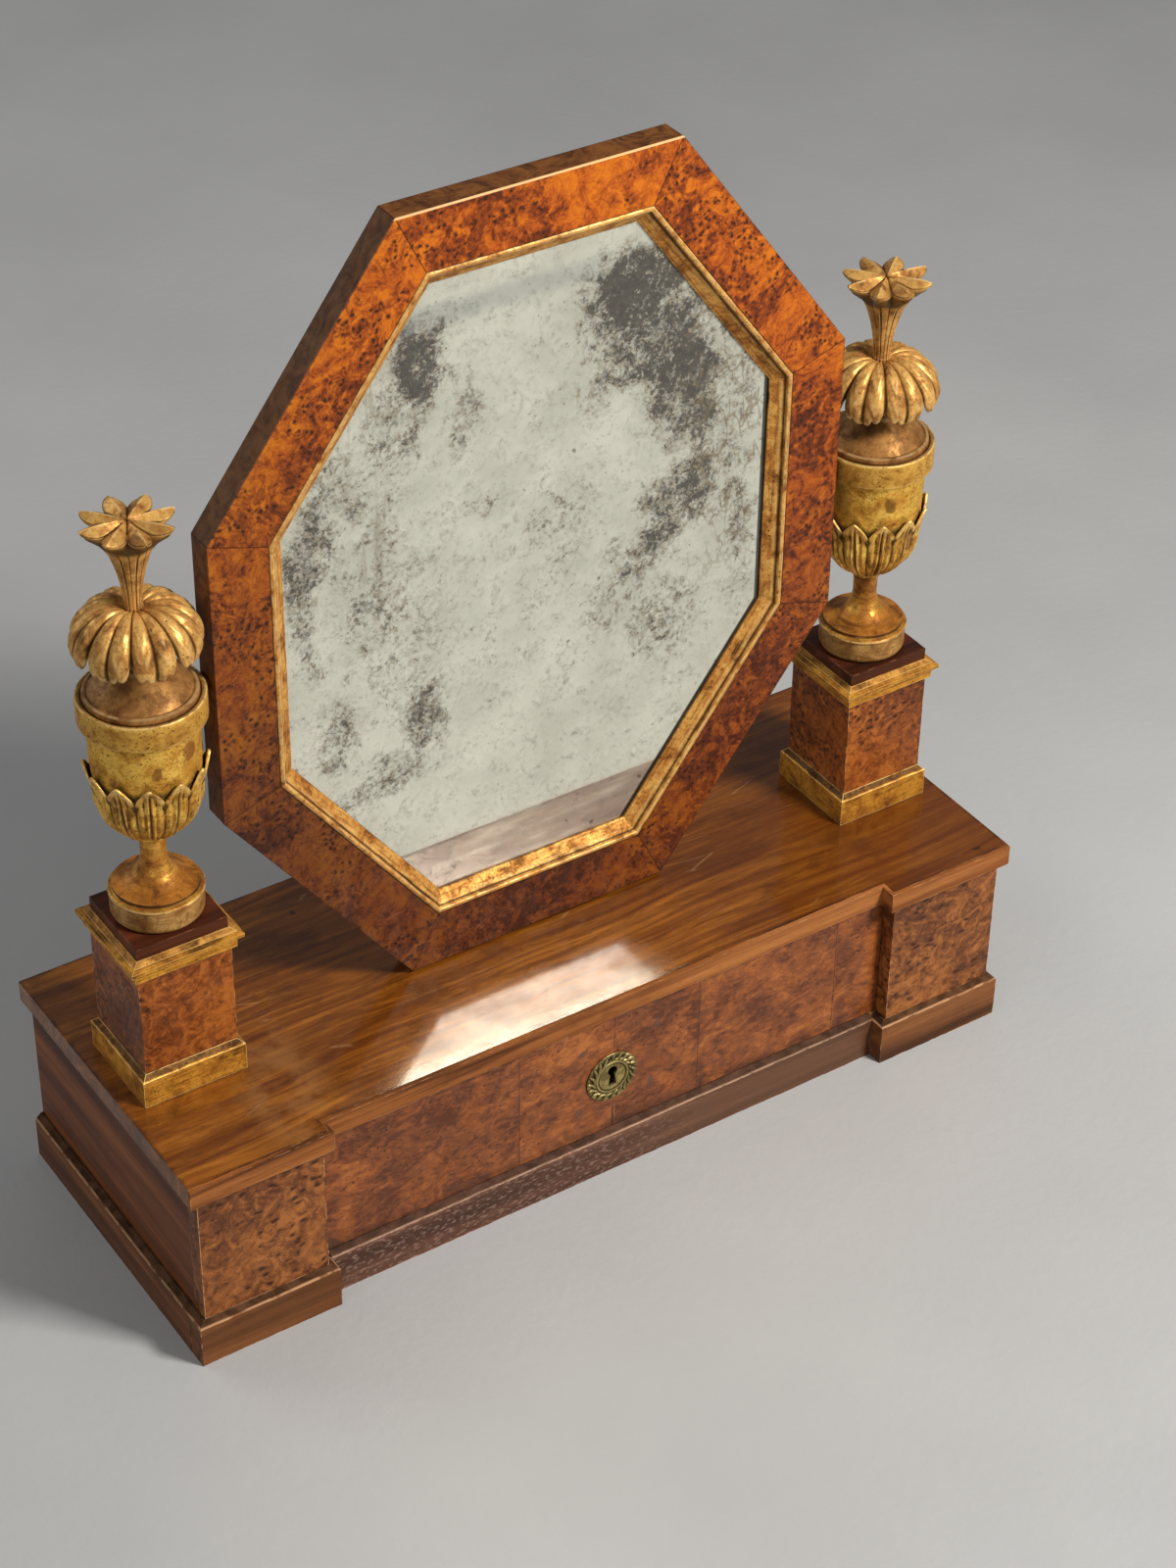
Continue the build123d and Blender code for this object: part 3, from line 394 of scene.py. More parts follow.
def sawn_wood(name, tones, along="X", fineness=1.0, gloss=0.5, worn=None, bevelled=False):
    """Tones are pale, middle and dark; worn is the colour of rubbed edges."""
    mix = Finish(name)
    pale, middle, dark = (paint(*tone) for tone in tones)
    rubbed = paint(*worn) if worn else pale
    bands, fibres, pores = grain_layers(mix, along, fineness, at=mix.own_sheet())
    mix.colour = mix.ramp(bands, (0.34, dark), (0.50, middle), (0.66, pale))
    mix.lay(dark, mix.fade(fibres, 0.45, 0.75), 0.35)
    mix.lay(dark, pores, 0.5)
    mix.lay(dark, mix.blotches(0.52, 0.74, 14, detail=6, roughness=0.65), 0.40, kind="MULTIPLY")
    edge = mix.mark("arris")
    mix.lay(rubbed, mix.fade(edge, 0.7, 0.98), mix.blotches(0.45, 0.57, 130, detail=5), 0.7)
    grime = mix.blotches(0.46, 0.58, 48, detail=5)
    mix.lay(paint(38, 21, 12), mix.fade(edge, 0.75, 1.0), grime, 0.75)
    dull = mix.minus(0.76 - 0.4 * gloss, mix.both(bands, 0.12))
    coat = 0.1 * gloss
    if bevelled:
        slope = darkened_bevel(mix, paint(40, 27, 18), paint(84, 58, 40))
        line = mix.both(*(mix.fade(mix.axes()[2], *ends) for ends in BEVEL_LINE))
        mix.lay(rubbed, line, mix.blotches(0.40, 0.52, 80), 0.6)
        dull = mix.plus(dull, mix.both(slope, 0.4))
        coat = 0.0
    mix.raise_by(fibres, 0.05)
    mix.sink_by(pores, 0.05)
    mix.raise_by(mix.clouds(26, detail=3), 0.30)
    return mix.done(dull, coat=coat, coat_roughness=0.3, shine=0.4 * gloss)


WOODS = {
    "edge_wood": dict(
        tones=((174, 110, 58), (148, 88, 44), (84, 46, 23)), fineness=1.3, gloss=0.35, worn=(222, 176, 126)
    ),
    "side_wood": dict(tones=((140, 80, 36), (110, 58, 26), (68, 34, 16)), along="Y", gloss=0.6),
    "pine": dict(tones=((190, 150, 98), (168, 126, 78), (118, 82, 48)), fineness=1.7, gloss=0.1),
    "pine_upright": dict(
        tones=((184, 144, 94), (162, 120, 74), (112, 78, 46)), along="Z", fineness=1.7, gloss=0.1
    ),
    "oak": dict(tones=((172, 130, 82), (148, 106, 62), (96, 64, 36)), along="Y", fineness=1.3, gloss=0.15),
    "oak_across": dict(tones=((170, 128, 80), (144, 102, 60), (92, 62, 36)), fineness=1.3, gloss=0.15),
    "plinth_light": dict(
        tones=((146, 92, 52), (116, 70, 38), (72, 42, 24)), worn=(198, 150, 108), bevelled=True
    ),
    "plinth_light_side": dict(
        tones=((140, 88, 48), (112, 66, 36), (70, 40, 22)), along="Y", worn=(190, 146, 106), bevelled=True
    ),
    "cap_mahogany": dict(tones=((104, 50, 26), (76, 34, 18), (44, 21, 12)), gloss=0.6, worn=(160, 98, 62)),
}
wood = {name: sawn_wood(name, **recipe) for name, recipe in WOODS.items()}
print("sawn woods:", len(wood))

# %% [markdown]
# ## The top board
# The board has the most to say: golden brown figure along its length, gloss that mirrors the glass
# above it, a bleached patch where something stood by the left pedestal, old scratches, ink-dark pits
# and a dark worn rim. All of it is placed by the board's own coordinates, so it stays put.


# %% Polished walnut for the board
def board_walnut():
    mix = Finish("walnut_top")
    bands, fibres, pores = grain_layers(mix, "X", 1.5, bend=1.6)
    browns = (0.34, paint(100, 50, 10)), (0.50, paint(134, 76, 18)), (0.66, paint(164, 100, 28))
    mix.colour = mix.ramp(bands, *browns)

    def long_blotches(low, high, scale, squeeze, **more):
        return mix.blotches(low, high, scale, mix.stretched((squeeze, 1, 1)), **more)

    mix.lay(paint(98, 48, 10), long_blotches(0.40, 0.62, 7, 0.4, detail=3), 0.45)
    mix.lay(paint(78, 36, 8), long_blotches(0.48, 0.62, 40, 0.22, detail=6, distortion=1.5), 0.5)
    mix.lay(paint(62, 30, 10), long_blotches(0.54, 0.66, 26, 0.6, detail=7, roughness=0.7), 0.5)
    mix.lay(paint(80, 38, 10), mix.fade(fibres, 0.48, 0.70), 0.40)
    mix.lay(paint(50, 22, 8), pores, 0.6)

    x, y, _ = mix.axes()
    mix.lay(paint(84, 38, 7), mix.fade(x, 0.02, 0.26), 0.45)
    beside = mix.both(mix.fade(x, -0.245, -0.225), mix.fade(x, -0.175, -0.200), mix.fade(y, 0.010, -0.020))
    mix.lay(paint(170, 118, 66), beside, mix.blotches(0.35, 0.6, 60), 0.35)

    away, few = mix.spots(34, mix.wobbled(mix.place, 40, 0.02), 0.62)
    pit = mix.both(mix.fade(away, 0.085, 0.045), few)
    mix.lay(paint(34, 18, 12), pit, 0.85)
    lines = mix.borders(60, mix.stretched((0.10, 1.6, 1.0), turn=(0, 0, 0.5)))
    scratches = mix.both(mix.fade(lines, 0.012, 0.004), mix.blotches(0.52, 0.62, 20))
    mix.lay(paint(210, 170, 120), scratches, 0.2)

    grime = mix.blotches(0.38, 0.60, 50, detail=6)
    mix.lay(paint(46, 24, 14), mix.fade(mix.mark("arris"), 0.45, 1.0), grime, 0.85)
    mix.raise_by(mix.clouds(16, mix.stretched((0.5, 1, 1)), detail=2), 0.22)
    mix.raise_by(fibres, 0.014)
    mix.sink_by(mix.either(pores, pit), 0.03)
    mix.sink_by(scratches, 0.012)
    mix.raise_by(mix.clouds(240, detail=3), 0.012)
    dull = mix.plus(0.24, mix.both(mix.blotches(0.4, 0.75, 40, detail=5), 0.22))
    return mix.done(dull, coat=0.45, coat_roughness=0.09, shine=0.3)


def dark_plinth():
    """The middle plinth board: a purple-brown veneer, under a rough, cloudy varnish on the left,
    whose pale, bumpy bloom is partly a painted sheen.
    """
    mix = Finish("plinth_dark")
    bands, fibres, pores = grain_layers(mix, "X", 1.0)
    browns = (0.34, paint(60, 34, 26)), (0.5, paint(90, 56, 42)), (0.66, paint(122, 82, 62))
    mix.colour = mix.ramp(bands, *browns)
    mix.lay(paint(44, 26, 20), pores, 0.5)
    x, _, z = mix.axes()
    varnished = mix.fade(x, 0.09, -0.03)
    mix.lay(paint(98, 66, 42), mix.rest(varnished), 0.5)
    wide = mix.stretched((0.5, 1, 1))
    # Pale, bumpy blotches on the varnished part: cloudy varnish and a painted sheen
    bloom_and_sheen = mix.both(mix.blotches(0.50, 0.64, 420, wide, detail=5), varnished)
    mix.lay(paint(172, 138, 122), bloom_and_sheen, 0.45)
    slope = darkened_bevel(mix, paint(42, 25, 18), paint(80, 52, 40))
    chipped = mix.both(mix.fade(mix.mark("arris"), 0.75, 1.0), mix.blotches(0.42, 0.52, 110, detail=5))
    mix.lay(paint(186, 142, 120), chipped, mix.fade(z, *BEVEL_CHIPS), 0.75)
    mix.raise_by(mix.both(mix.clouds(330, wide), varnished), 0.50)
    mix.raise_by(fibres, 0.05)
    dull = mix.plus(0.34, mix.both(bloom_and_sheen, 0.14))
    return mix.done(mix.plus(dull, mix.both(slope, 0.4)), shine=0.25)


walnut_top = board_walnut()
plinth_dark = dark_plinth()
print("board and plinth finishes ready")

# %% [markdown]
# ## The drawer front
# The drawer front is oak, faced with sheets of burr laid side by side. The sheets are told apart by
# where they lie along X: a ramp with hard steps gives each its own number, tone and pattern. Old plugs
# and a short crack round the lock are small ovals, measured from the middle of the case. The same
# material shows plain oak behind the face, where the drawer is dovetailed.


# %% Drawer front veneer
DRAWER_FACE_Y = -96.0
DRAWER_WIDTH = 420.0
VENEER_T = 0.9
SHEET_JOINTS = (-68.0, 2.0, 66.0, 173.0)
SHEET_TONES = (0.42, 0.60, 0.34, 0.48, 0.38)
# Ovals as (x, z, half width, half height); the chip is a corner and the reach at which it fades
PLUGS = (
    (-20.5, 103.0, 3.2, 2.4), (34.0, 104.0, 2.2, 4.5), (30.0, 57.0, 2.4, 5.5), (-24.0, 56.0, 3.0, 3.4)
)
CRACK = (1.2, 41.0, 0.45, 9.0)
KEYHOLE_SHADE = (0.0, 77.5, 4.6, 9.5)
CHIP_X, CHIP_Z, CHIP_REACH = -209.0, 33.7, (16.5 * MM, 15.5 * MM)


def drawer_veneer():
    mix = Finish("drawer_burr")
    x, y, z = mix.axes()
    width = DRAWER_WIDTH * MM
    starts = [0.0] + [joint * MM / width + 0.5 for joint in SHEET_JOINTS]
    steps = [(start, (tone, tone, tone, 1)) for start, tone in zip(starts, SHEET_TONES)]
    share = mix.maths("DIVIDE", mix.plus(x, width / 2), width)
    tone = mix.ramp(share, *steps, interpolation="CONSTANT")
    at = mix.vector_maths("ADD", mix.place, mix.scaled((3.7, 1.9, 2.3), tone))

    slanting = mix.stretched((0.55, 1, 1.0), at, (0, 0.5, 0))
    streaks = mix.clouds(85, slanting, detail=9, roughness=0.66, distortion=1.8)
    curls = mix.clouds(240, slanting, detail=5, distortion=1.6)
    fine = mix.plus(mix.both(streaks, 0.4), mix.both(curls, 0.25))
    body = mix.plus(mix.both(mix.clouds(24, at, distortion=1.0), 0.35), fine)
    body = mix.plus(body, mix.both(mix.minus(tone, 0.5), 0.12))
    darks = (0.42, paint(86, 42, 22)), (0.48, paint(120, 64, 32))
    lights = (0.54, paint(146, 80, 36)), (0.61, paint(172, 102, 46))
    mix.colour = mix.ramp(body, *darks, *lights)
    away, chosen = mix.spots(260, mix.wobbled(at, 260, 0.003), 0.45)
    core = mix.both(mix.fade(away, 0.30, 0.14), chosen, mix.blotches(0.50, 0.60, 30, at, detail=3))
    mix.lay(EYE_INK, core, 0.8)
    mix.lay(EYE_INK, mix.blotches(0.66, 0.74, 1000, at, detail=2), 0.5)
    joints = 0.0
    for joint in SHEET_JOINTS:
        gap = mix.maths("ABSOLUTE", mix.minus(x, joint * MM))
        joints = mix.either(joints, mix.fade(gap, 0.55 * MM, 0.2 * MM))
    mix.lay(paint(62, 30, 20), joints, 0.6)
    for plug in PLUGS:
        mix.lay(paint(92, 62, 48), mix.oval(x, z, plug), 0.75)
    crack = mix.oval(x, z, CRACK)
    mix.lay(paint(34, 18, 14), crack, 0.9)
    dirt = mix.blotches(0.35, 0.6, 50, detail=5)
    mix.lay(paint(54, 28, 20), mix.fade(z, 46 * MM, 34 * MM), dirt, 0.6)
    from_corner = mix.plus(mix.minus(z, CHIP_Z * MM), mix.minus(x, CHIP_X * MM))
    mix.lay(paint(70, 46, 34), mix.fade(from_corner, *CHIP_REACH), 0.75)
    mix.raise_by(mix.clouds(30, at, detail=2), 0.30)
    mix.raise_by(streaks, 0.12)
    mix.sink_by(mix.either(core, mix.either(joints, crack)), 0.10)

    bands, _, pores = grain_layers(mix, "X", 1.2)
    oaks = (0.34, paint(104, 72, 42)), (0.5, paint(152, 112, 70)), (0.66, paint(178, 138, 92))
    carcase = mix.blend(mix.both(pores, 0.5), mix.ramp(bands, *oaks), paint(96, 66, 40))
    behind = mix.maths("GREATER_THAN", y, (DRAWER_FACE_Y + VENEER_T) * MM)
    mix.lay(carcase, behind)
    mix.lay(paint(8, 6, 5), mix.oval(x, z, KEYHOLE_SHADE))
    dull = mix.plus(0.30, mix.both(mix.blotches(0.4, 0.7, 70), 0.16))
    return mix.done(mix.plus(dull, mix.both(behind, 0.3)), coat=0.08, coat_roughness=0.25)


drawer_burr = drawer_veneer()
print("drawer sheets:", len(SHEET_TONES))

# %% [markdown]
# ## Water gilding
# Gold leaf lies on red clay, the bole, which lies on white chalk. Where hands and dusters have been,
# first the bole shows as warm brown. The hollows are painted dark, for the dirt of two centuries and as
# painted shade, and high ridges pale, for rubbed leaf and as a painted highlight; edges get a painted
# highlight too. The mesh carries two painted marks for this: `hollow` is 1 deep in a groove, and `crest`
# is 1 on a high ridge.
# Gold is only partly metallic here: worn leaf scatters light as much as it mirrors it.


# %% Gilding
# A streak is this share of its own length wide
PULL = 0.05


def run_coordinates(mix, runs):
    """Where streaks run: along the painted path, along a square's sides, or round a turned piece."""
    if runs == "path":
        along = mix.both(mix.mark("run"), PULL)
        return mix.out("ShaderNodeCombineXYZ", {0: along, 1: mix.mark("inset")})
    if runs == "sides":
        x, y, z = mix.axes()
        from_middle = mix.minus(mix.maths("ABSOLUTE", x), PEDESTAL_X * MM)
        reach = mix.maths("ABSOLUTE", from_middle)
        facing = mix.maths("GREATER_THAN", reach, mix.maths("ABSOLUTE", y))
        along = mix.both(mix.plus(mix.both(facing, y), mix.both(mix.rest(facing), x)), PULL)
        return mix.out("ShaderNodeCombineXYZ", {0: along, 1: facing, 2: z})
    return mix.stretched((PULL, PULL, 1.0))


def gilding(name, leaf, rubbed, bole, wear, metal=0.4, dull=0.42, pitted=0.5, streaky=0.0, zones=(),
            patches=(), runs="turned"):
    """Zones are (from z, to z, softness, dark tone, pale tone, share) in mm.

    Patches are (x, y, z, radius, tone).
    """
    mix = Finish(name)
    height = mix.axes()[2]
    worn = mix.clouds(75, detail=8, roughness=0.68, distortion=0.4)
    worn = mix.minus(worn, (wear - 0.5) * 0.3)
    mix.colour = mix.ramp(worn, (0.36, bole), (0.45, rubbed), (0.56, leaf))
    matt = 0.0
    for low, high, soft, dark, pale, share in zones:
        above = mix.fade(height, (low - soft) * MM, (low + soft) * MM)
        below = mix.fade(height, (high + soft) * MM, (high - soft) * MM)
        zone = mix.both(above, below, share)
        mix.lay(mix.ramp(worn, (0.38, dark), (0.56, pale)), zone)
        matt = mix.either(matt, zone)
    for *middle, radius, tone in patches:
        sockets = {0: mix.wobbled(mix.place, 90, 0.012), 1: Vector(middle) * MM}
        away = mix.add("ShaderNodeVectorMath", sockets, operation="DISTANCE").outputs["Value"]
        mix.lay(tone, mix.fade(away, radius * 1.1 * MM, radius * 0.7 * MM), 0.8)
    mottled = mix.blotches(0.50, 0.60, 300, detail=6, roughness=0.72)
    mix.lay(mix.blend(0.4, rubbed, bole), mottled, 0.55)
    if streaky:
        run_place = run_coordinates(mix, runs)
        mix.lay(bole, mix.blotches(0.50, 0.62, 640, run_place), streaky)
        clefts = mix.blotches(0.60, 0.66, 300, mix.wobbled(run_place, 90, 0.004), detail=5)
        crowd = mix.blotches(0.46, 0.56, 44, detail=3)
        mix.lay(paint(48, 28, 14), clefts, crowd, min(1.0, 1.5 * streaky))
    away, chosen = mix.spots(380, mix.wobbled(mix.place, 400, 0.003), 1.0 - 0.55 * pitted)
    pit = mix.both(mix.fade(away, 0.36, 0.14), chosen, mix.blotches(0.46, 0.60, 50, detail=3))
    mix.lay(paint(58, 36, 20), pit, 0.8)
    crowd = mix.blotches(0.38, 0.52, 34, detail=3)
    specks = mix.both(mix.blotches(0.58, 0.66, 720, detail=3), crowd, pitted)
    mix.lay(paint(78, 48, 20), specks, 0.8)
    # Hollows get dirt and painted shade; crests get paler, rubbed leaf and a painted highlight
    dirt_and_shade = mix.both(mix.fade(mix.mark("hollow"), 0.25, 0.85), mix.blotches(0.10, 0.45, 120))
    ridge = mix.both(mix.fade(mix.mark("crest"), 0.2, 0.9), mix.blotches(0.36, 0.56, 160, detail=3))
    mix.lay(mix.blend(0.45, leaf, paint(250, 222, 160)), ridge, 0.7)
    mix.lay(paint(44, 27, 13), dirt_and_shade, 0.9)
    # A painted highlight along the edges, broken up by clouds
    bright = mix.blotches(0.32, 0.46, 90, detail=5)
    mix.lay(paint(244, 206, 128), mix.fade(mix.mark("arris"), 0.70, 0.97), bright, 0.8)
    losses = mix.either(mix.either(pit, specks), dirt_and_shade)
    mix.sink_by(losses, 0.22)
    mix.raise_by(mix.clouds(260, detail=6, roughness=0.62), 0.16)
    mix.raise_by(mix.clouds(60, detail=3), 0.30)
    mix.raise_by(mix.clouds(850), 0.05)
    kept = mix.both(mix.fade(worn, 0.34, 0.52), mix.rest(mix.both(losses, 0.9)), metal)
    gold = mix.both(kept, mix.rest(mix.both(matt, 0.7)))
    rough = mix.minus(dull + 0.2, mix.both(mix.fade(worn, 0.38, 0.58), 0.2))
    rough = mix.plus(rough, mix.both(matt, 0.08))
    return mix.done(rough, metal=gold, shine=0.35, glint=paint(255, 214, 150))


# A dark line painted as shade: where the block stands on the board, and under the moulding's overhang
LINE = (paint(40, 24, 12), paint(58, 36, 18))
RIM_ZONES = (
    (392.6, 406.2, 1.0, paint(112, 72, 28), paint(190, 140, 62), 0.65),
    (407.3, 409.0, 0.2, paint(112, 76, 42), paint(172, 130, 80), 0.85),
)
FOOT_ZONES = (
    (250.0, 273.2, 0.8, paint(104, 68, 36), paint(180, 140, 86), 0.8),
    (275.8, 283.5, 1.5, paint(92, 48, 15), paint(168, 100, 34), 0.8),
)
BLOCK_ZONES = (
    (160.9, 166.0, 0.3, paint(42, 24, 14), paint(80, 50, 28), 0.95),
    (140.0, 142.0, 0.4, *LINE, 0.85),
    (240.0, 242.35, 0.2, *LINE, 0.92),
    (245.6, 249.0, 0.4, paint(84, 54, 24), paint(176, 124, 58), 0.75),
)
BOWL_PATCHES = {
    "left": (
        (-240.0, -29.0, 380.0, 6.5, paint(150, 88, 48)),
        (-262.0, -30.0, 372.0, 4.0, paint(120, 76, 32)),
    ),
    "right": (
        (284.0, -18.0, 398.0, 7.0, paint(204, 112, 42)),
        (244.0, -30.0, 378.0, 6.0, paint(96, 64, 26)),
    ),
}
gilt_bright = {
    side: gilding(
        f"gilt_bright_{side}", paint(238, 190, 86), paint(200, 144, 54), paint(132, 80, 34), 0.42,
        metal=0.62, dull=0.34, pitted=1.0, zones=RIM_ZONES, patches=patches,
    )
    for side, patches in BOWL_PATCHES.items()
}
gilt_foot = gilding(
    "gilt_foot", paint(216, 160, 70), paint(168, 110, 44), paint(108, 62, 26), 0.52,
    metal=0.5, dull=0.34, pitted=0.4, streaky=0.35, zones=FOOT_ZONES,
)
gilt_brown = gilding(
    "gilt_brown", paint(162, 114, 62), paint(126, 84, 44), paint(90, 56, 30), 0.54,
    metal=0.2, dull=0.40, pitted=0.2,
)
gilt_carved = gilding(
    "gilt_carved", paint(222, 172, 96), paint(174, 122, 62), paint(108, 68, 32), 0.50,
    metal=0.36, dull=0.36, pitted=0.3,
)
gilt_leaves = gilding(
    "gilt_leaves", paint(240, 192, 90), paint(188, 134, 52), paint(104, 64, 26), 0.52,
    metal=0.45, dull=0.32, pitted=0.8,
)
gilt_block = gilding(
    "gilt_block", paint(212, 150, 54), paint(174, 112, 38), paint(104, 62, 24), 0.46,
    metal=0.3, dull=0.45, pitted=0.5, streaky=0.5, zones=BLOCK_ZONES, runs="sides",
)
gilt_slip = gilding(
    "gilt_slip", paint(226, 170, 88), paint(188, 124, 56), paint(110, 64, 28), 0.52,
    metal=0.3, dull=0.40, pitted=0.6, streaky=0.55, runs="path",
)
print("gilt finishes ready")

# %% [markdown]
# ## Brass and iron
# The escutcheon is old lacquered brass gone olive; hollows are nearly black, ridges pale. The lock is
# brown brass and the screws and brads are iron with a little rust. Metal is where Metallic is 1, and
# tarnish is where it falls back towards 0.


# %% Old metals
def old_metal(name, clean, tarnish, ink, share=0.5, rough=0.42):
    mix = Finish(name)
    patches = mix.clouds(180, detail=6, roughness=0.62)
    mix.colour = mix.ramp(patches, (0.5 - 0.2 * share, clean), (0.5 + 0.12 * share, tarnish))
    mix.lay(ink, mix.fade(mix.mark("hollow"), 0.2, 0.9), 0.9)
    mix.lay(clean, mix.mark("crest"), 0.6)
    mix.raise_by(patches, 0.05)
    mix.raise_by(mix.clouds(900, detail=2), 0.02)
    metal = mix.minus(0.95, mix.both(mix.fade(patches, 0.45, 0.62), 0.45))
    return mix.done(mix.plus(rough - 0.08, mix.both(patches, 0.25)), metal=metal)


aged_brass = old_metal("aged_brass", paint(186, 168, 112), paint(112, 96, 56), paint(30, 24, 12), 0.6)
lock_brass = old_metal("lock_brass", paint(120, 98, 60), paint(76, 58, 36), paint(26, 18, 10), 0.4)
iron = old_metal("iron", paint(122, 116, 108), paint(86, 62, 48), paint(36, 28, 24), 0.5, rough=0.5)
print("metals ready")

# %% [markdown]
# ## Foxed glass
# An old mirror is a sheet of wavy glass with tin and mercury on its back. Damp eats the metal from the
# edges: grey clouds, black specks and pale worm tracks. Clear silvering is a metallic surface with a
# faint green tint; where it has gone, the surface turns rough, dark and no longer metallic. A few soft
# ovals say where the damp got in, and noise of three sizes breaks them up.


# %% The old silvering
# Each patch: x and z from the pivot, half width, half height (mm), strength
DAMP = (
    (-73, 161, 18, 24, 0.78),
    (-58, 182, 20, 12, 0.30),
    (-92, 128, 15, 32, 0.42),
    (-46, 118, 11, 22, 0.46),
    (77, 141, 28, 36, 0.80),
    (99, 89, 26, 36, 0.78),
    (58, 168, 24, 18, 0.55),
    (118, 128, 16, 40, 0.60),
    (44, 104, 14, 20, 0.42),
    (101, 14, 26, 22, 0.66),
    (81, -13, 24, 14, 0.60),
    (122, 44, 16, 30, 0.40),
    (60, -42, 22, 20, 0.32),
    (100, -66, 24, 26, 0.40),
    (-151, 67, 12, 26, 0.66),
    (-153, 15, 10, 36, 0.50),
    (-128, 100, 16, 22, 0.42),
    (-108, 52, 26, 50, 0.28),
    (-92, -8, 36, 40, 0.26),
    (-137, -73, 16, 18, 0.42),
    (-119, -123, 18, 12, 0.46),
    (-77, -68, 15, 20, 0.66),
    (-92, -108, 18, 14, 0.50),
    (-29, 51, 12, 10, 0.36),
    (20, 20, 20, 36, 0.26),
    (146, 62, 13, 80, 0.36),
    (152, -30, 10, 60, 0.30),
    (0, 60, 200, 200, 0.10),
)
SIGHT_HALF_W = 165.7
SHADE_W = 3.2
# From the pivot (mm): where the board's reflection begins, below which a painted reflection tint is laid
REFLECTED_EDGE_Z = -173.0
# Height of a soft grey band painted on the glass as a reflection (mm)
REFLECTED_BAND_Z = 588.0
# The slanting sides of the octagon: CORNER_Z * x + CORNER_X * z is the same all along one
FRAME_HALF_W = 214.5
FRAME_HALF_H = 257.3
CORNER_X = 122.1
CORNER_Z = 163.4
SLANT = math.hypot(CORNER_X, CORNER_Z)
OUTER_SLANT = CORNER_Z * FRAME_HALF_W + CORNER_X * FRAME_HALF_H - CORNER_X * CORNER_Z
SIGHT_INSET = FRAME_HALF_W - SIGHT_HALF_W
SLANT_REACH = (OUTER_SLANT - (SIGHT_INSET + 2.4) * SLANT) * MM
SLANT_SHADE = 0.8 * SLANT * MM


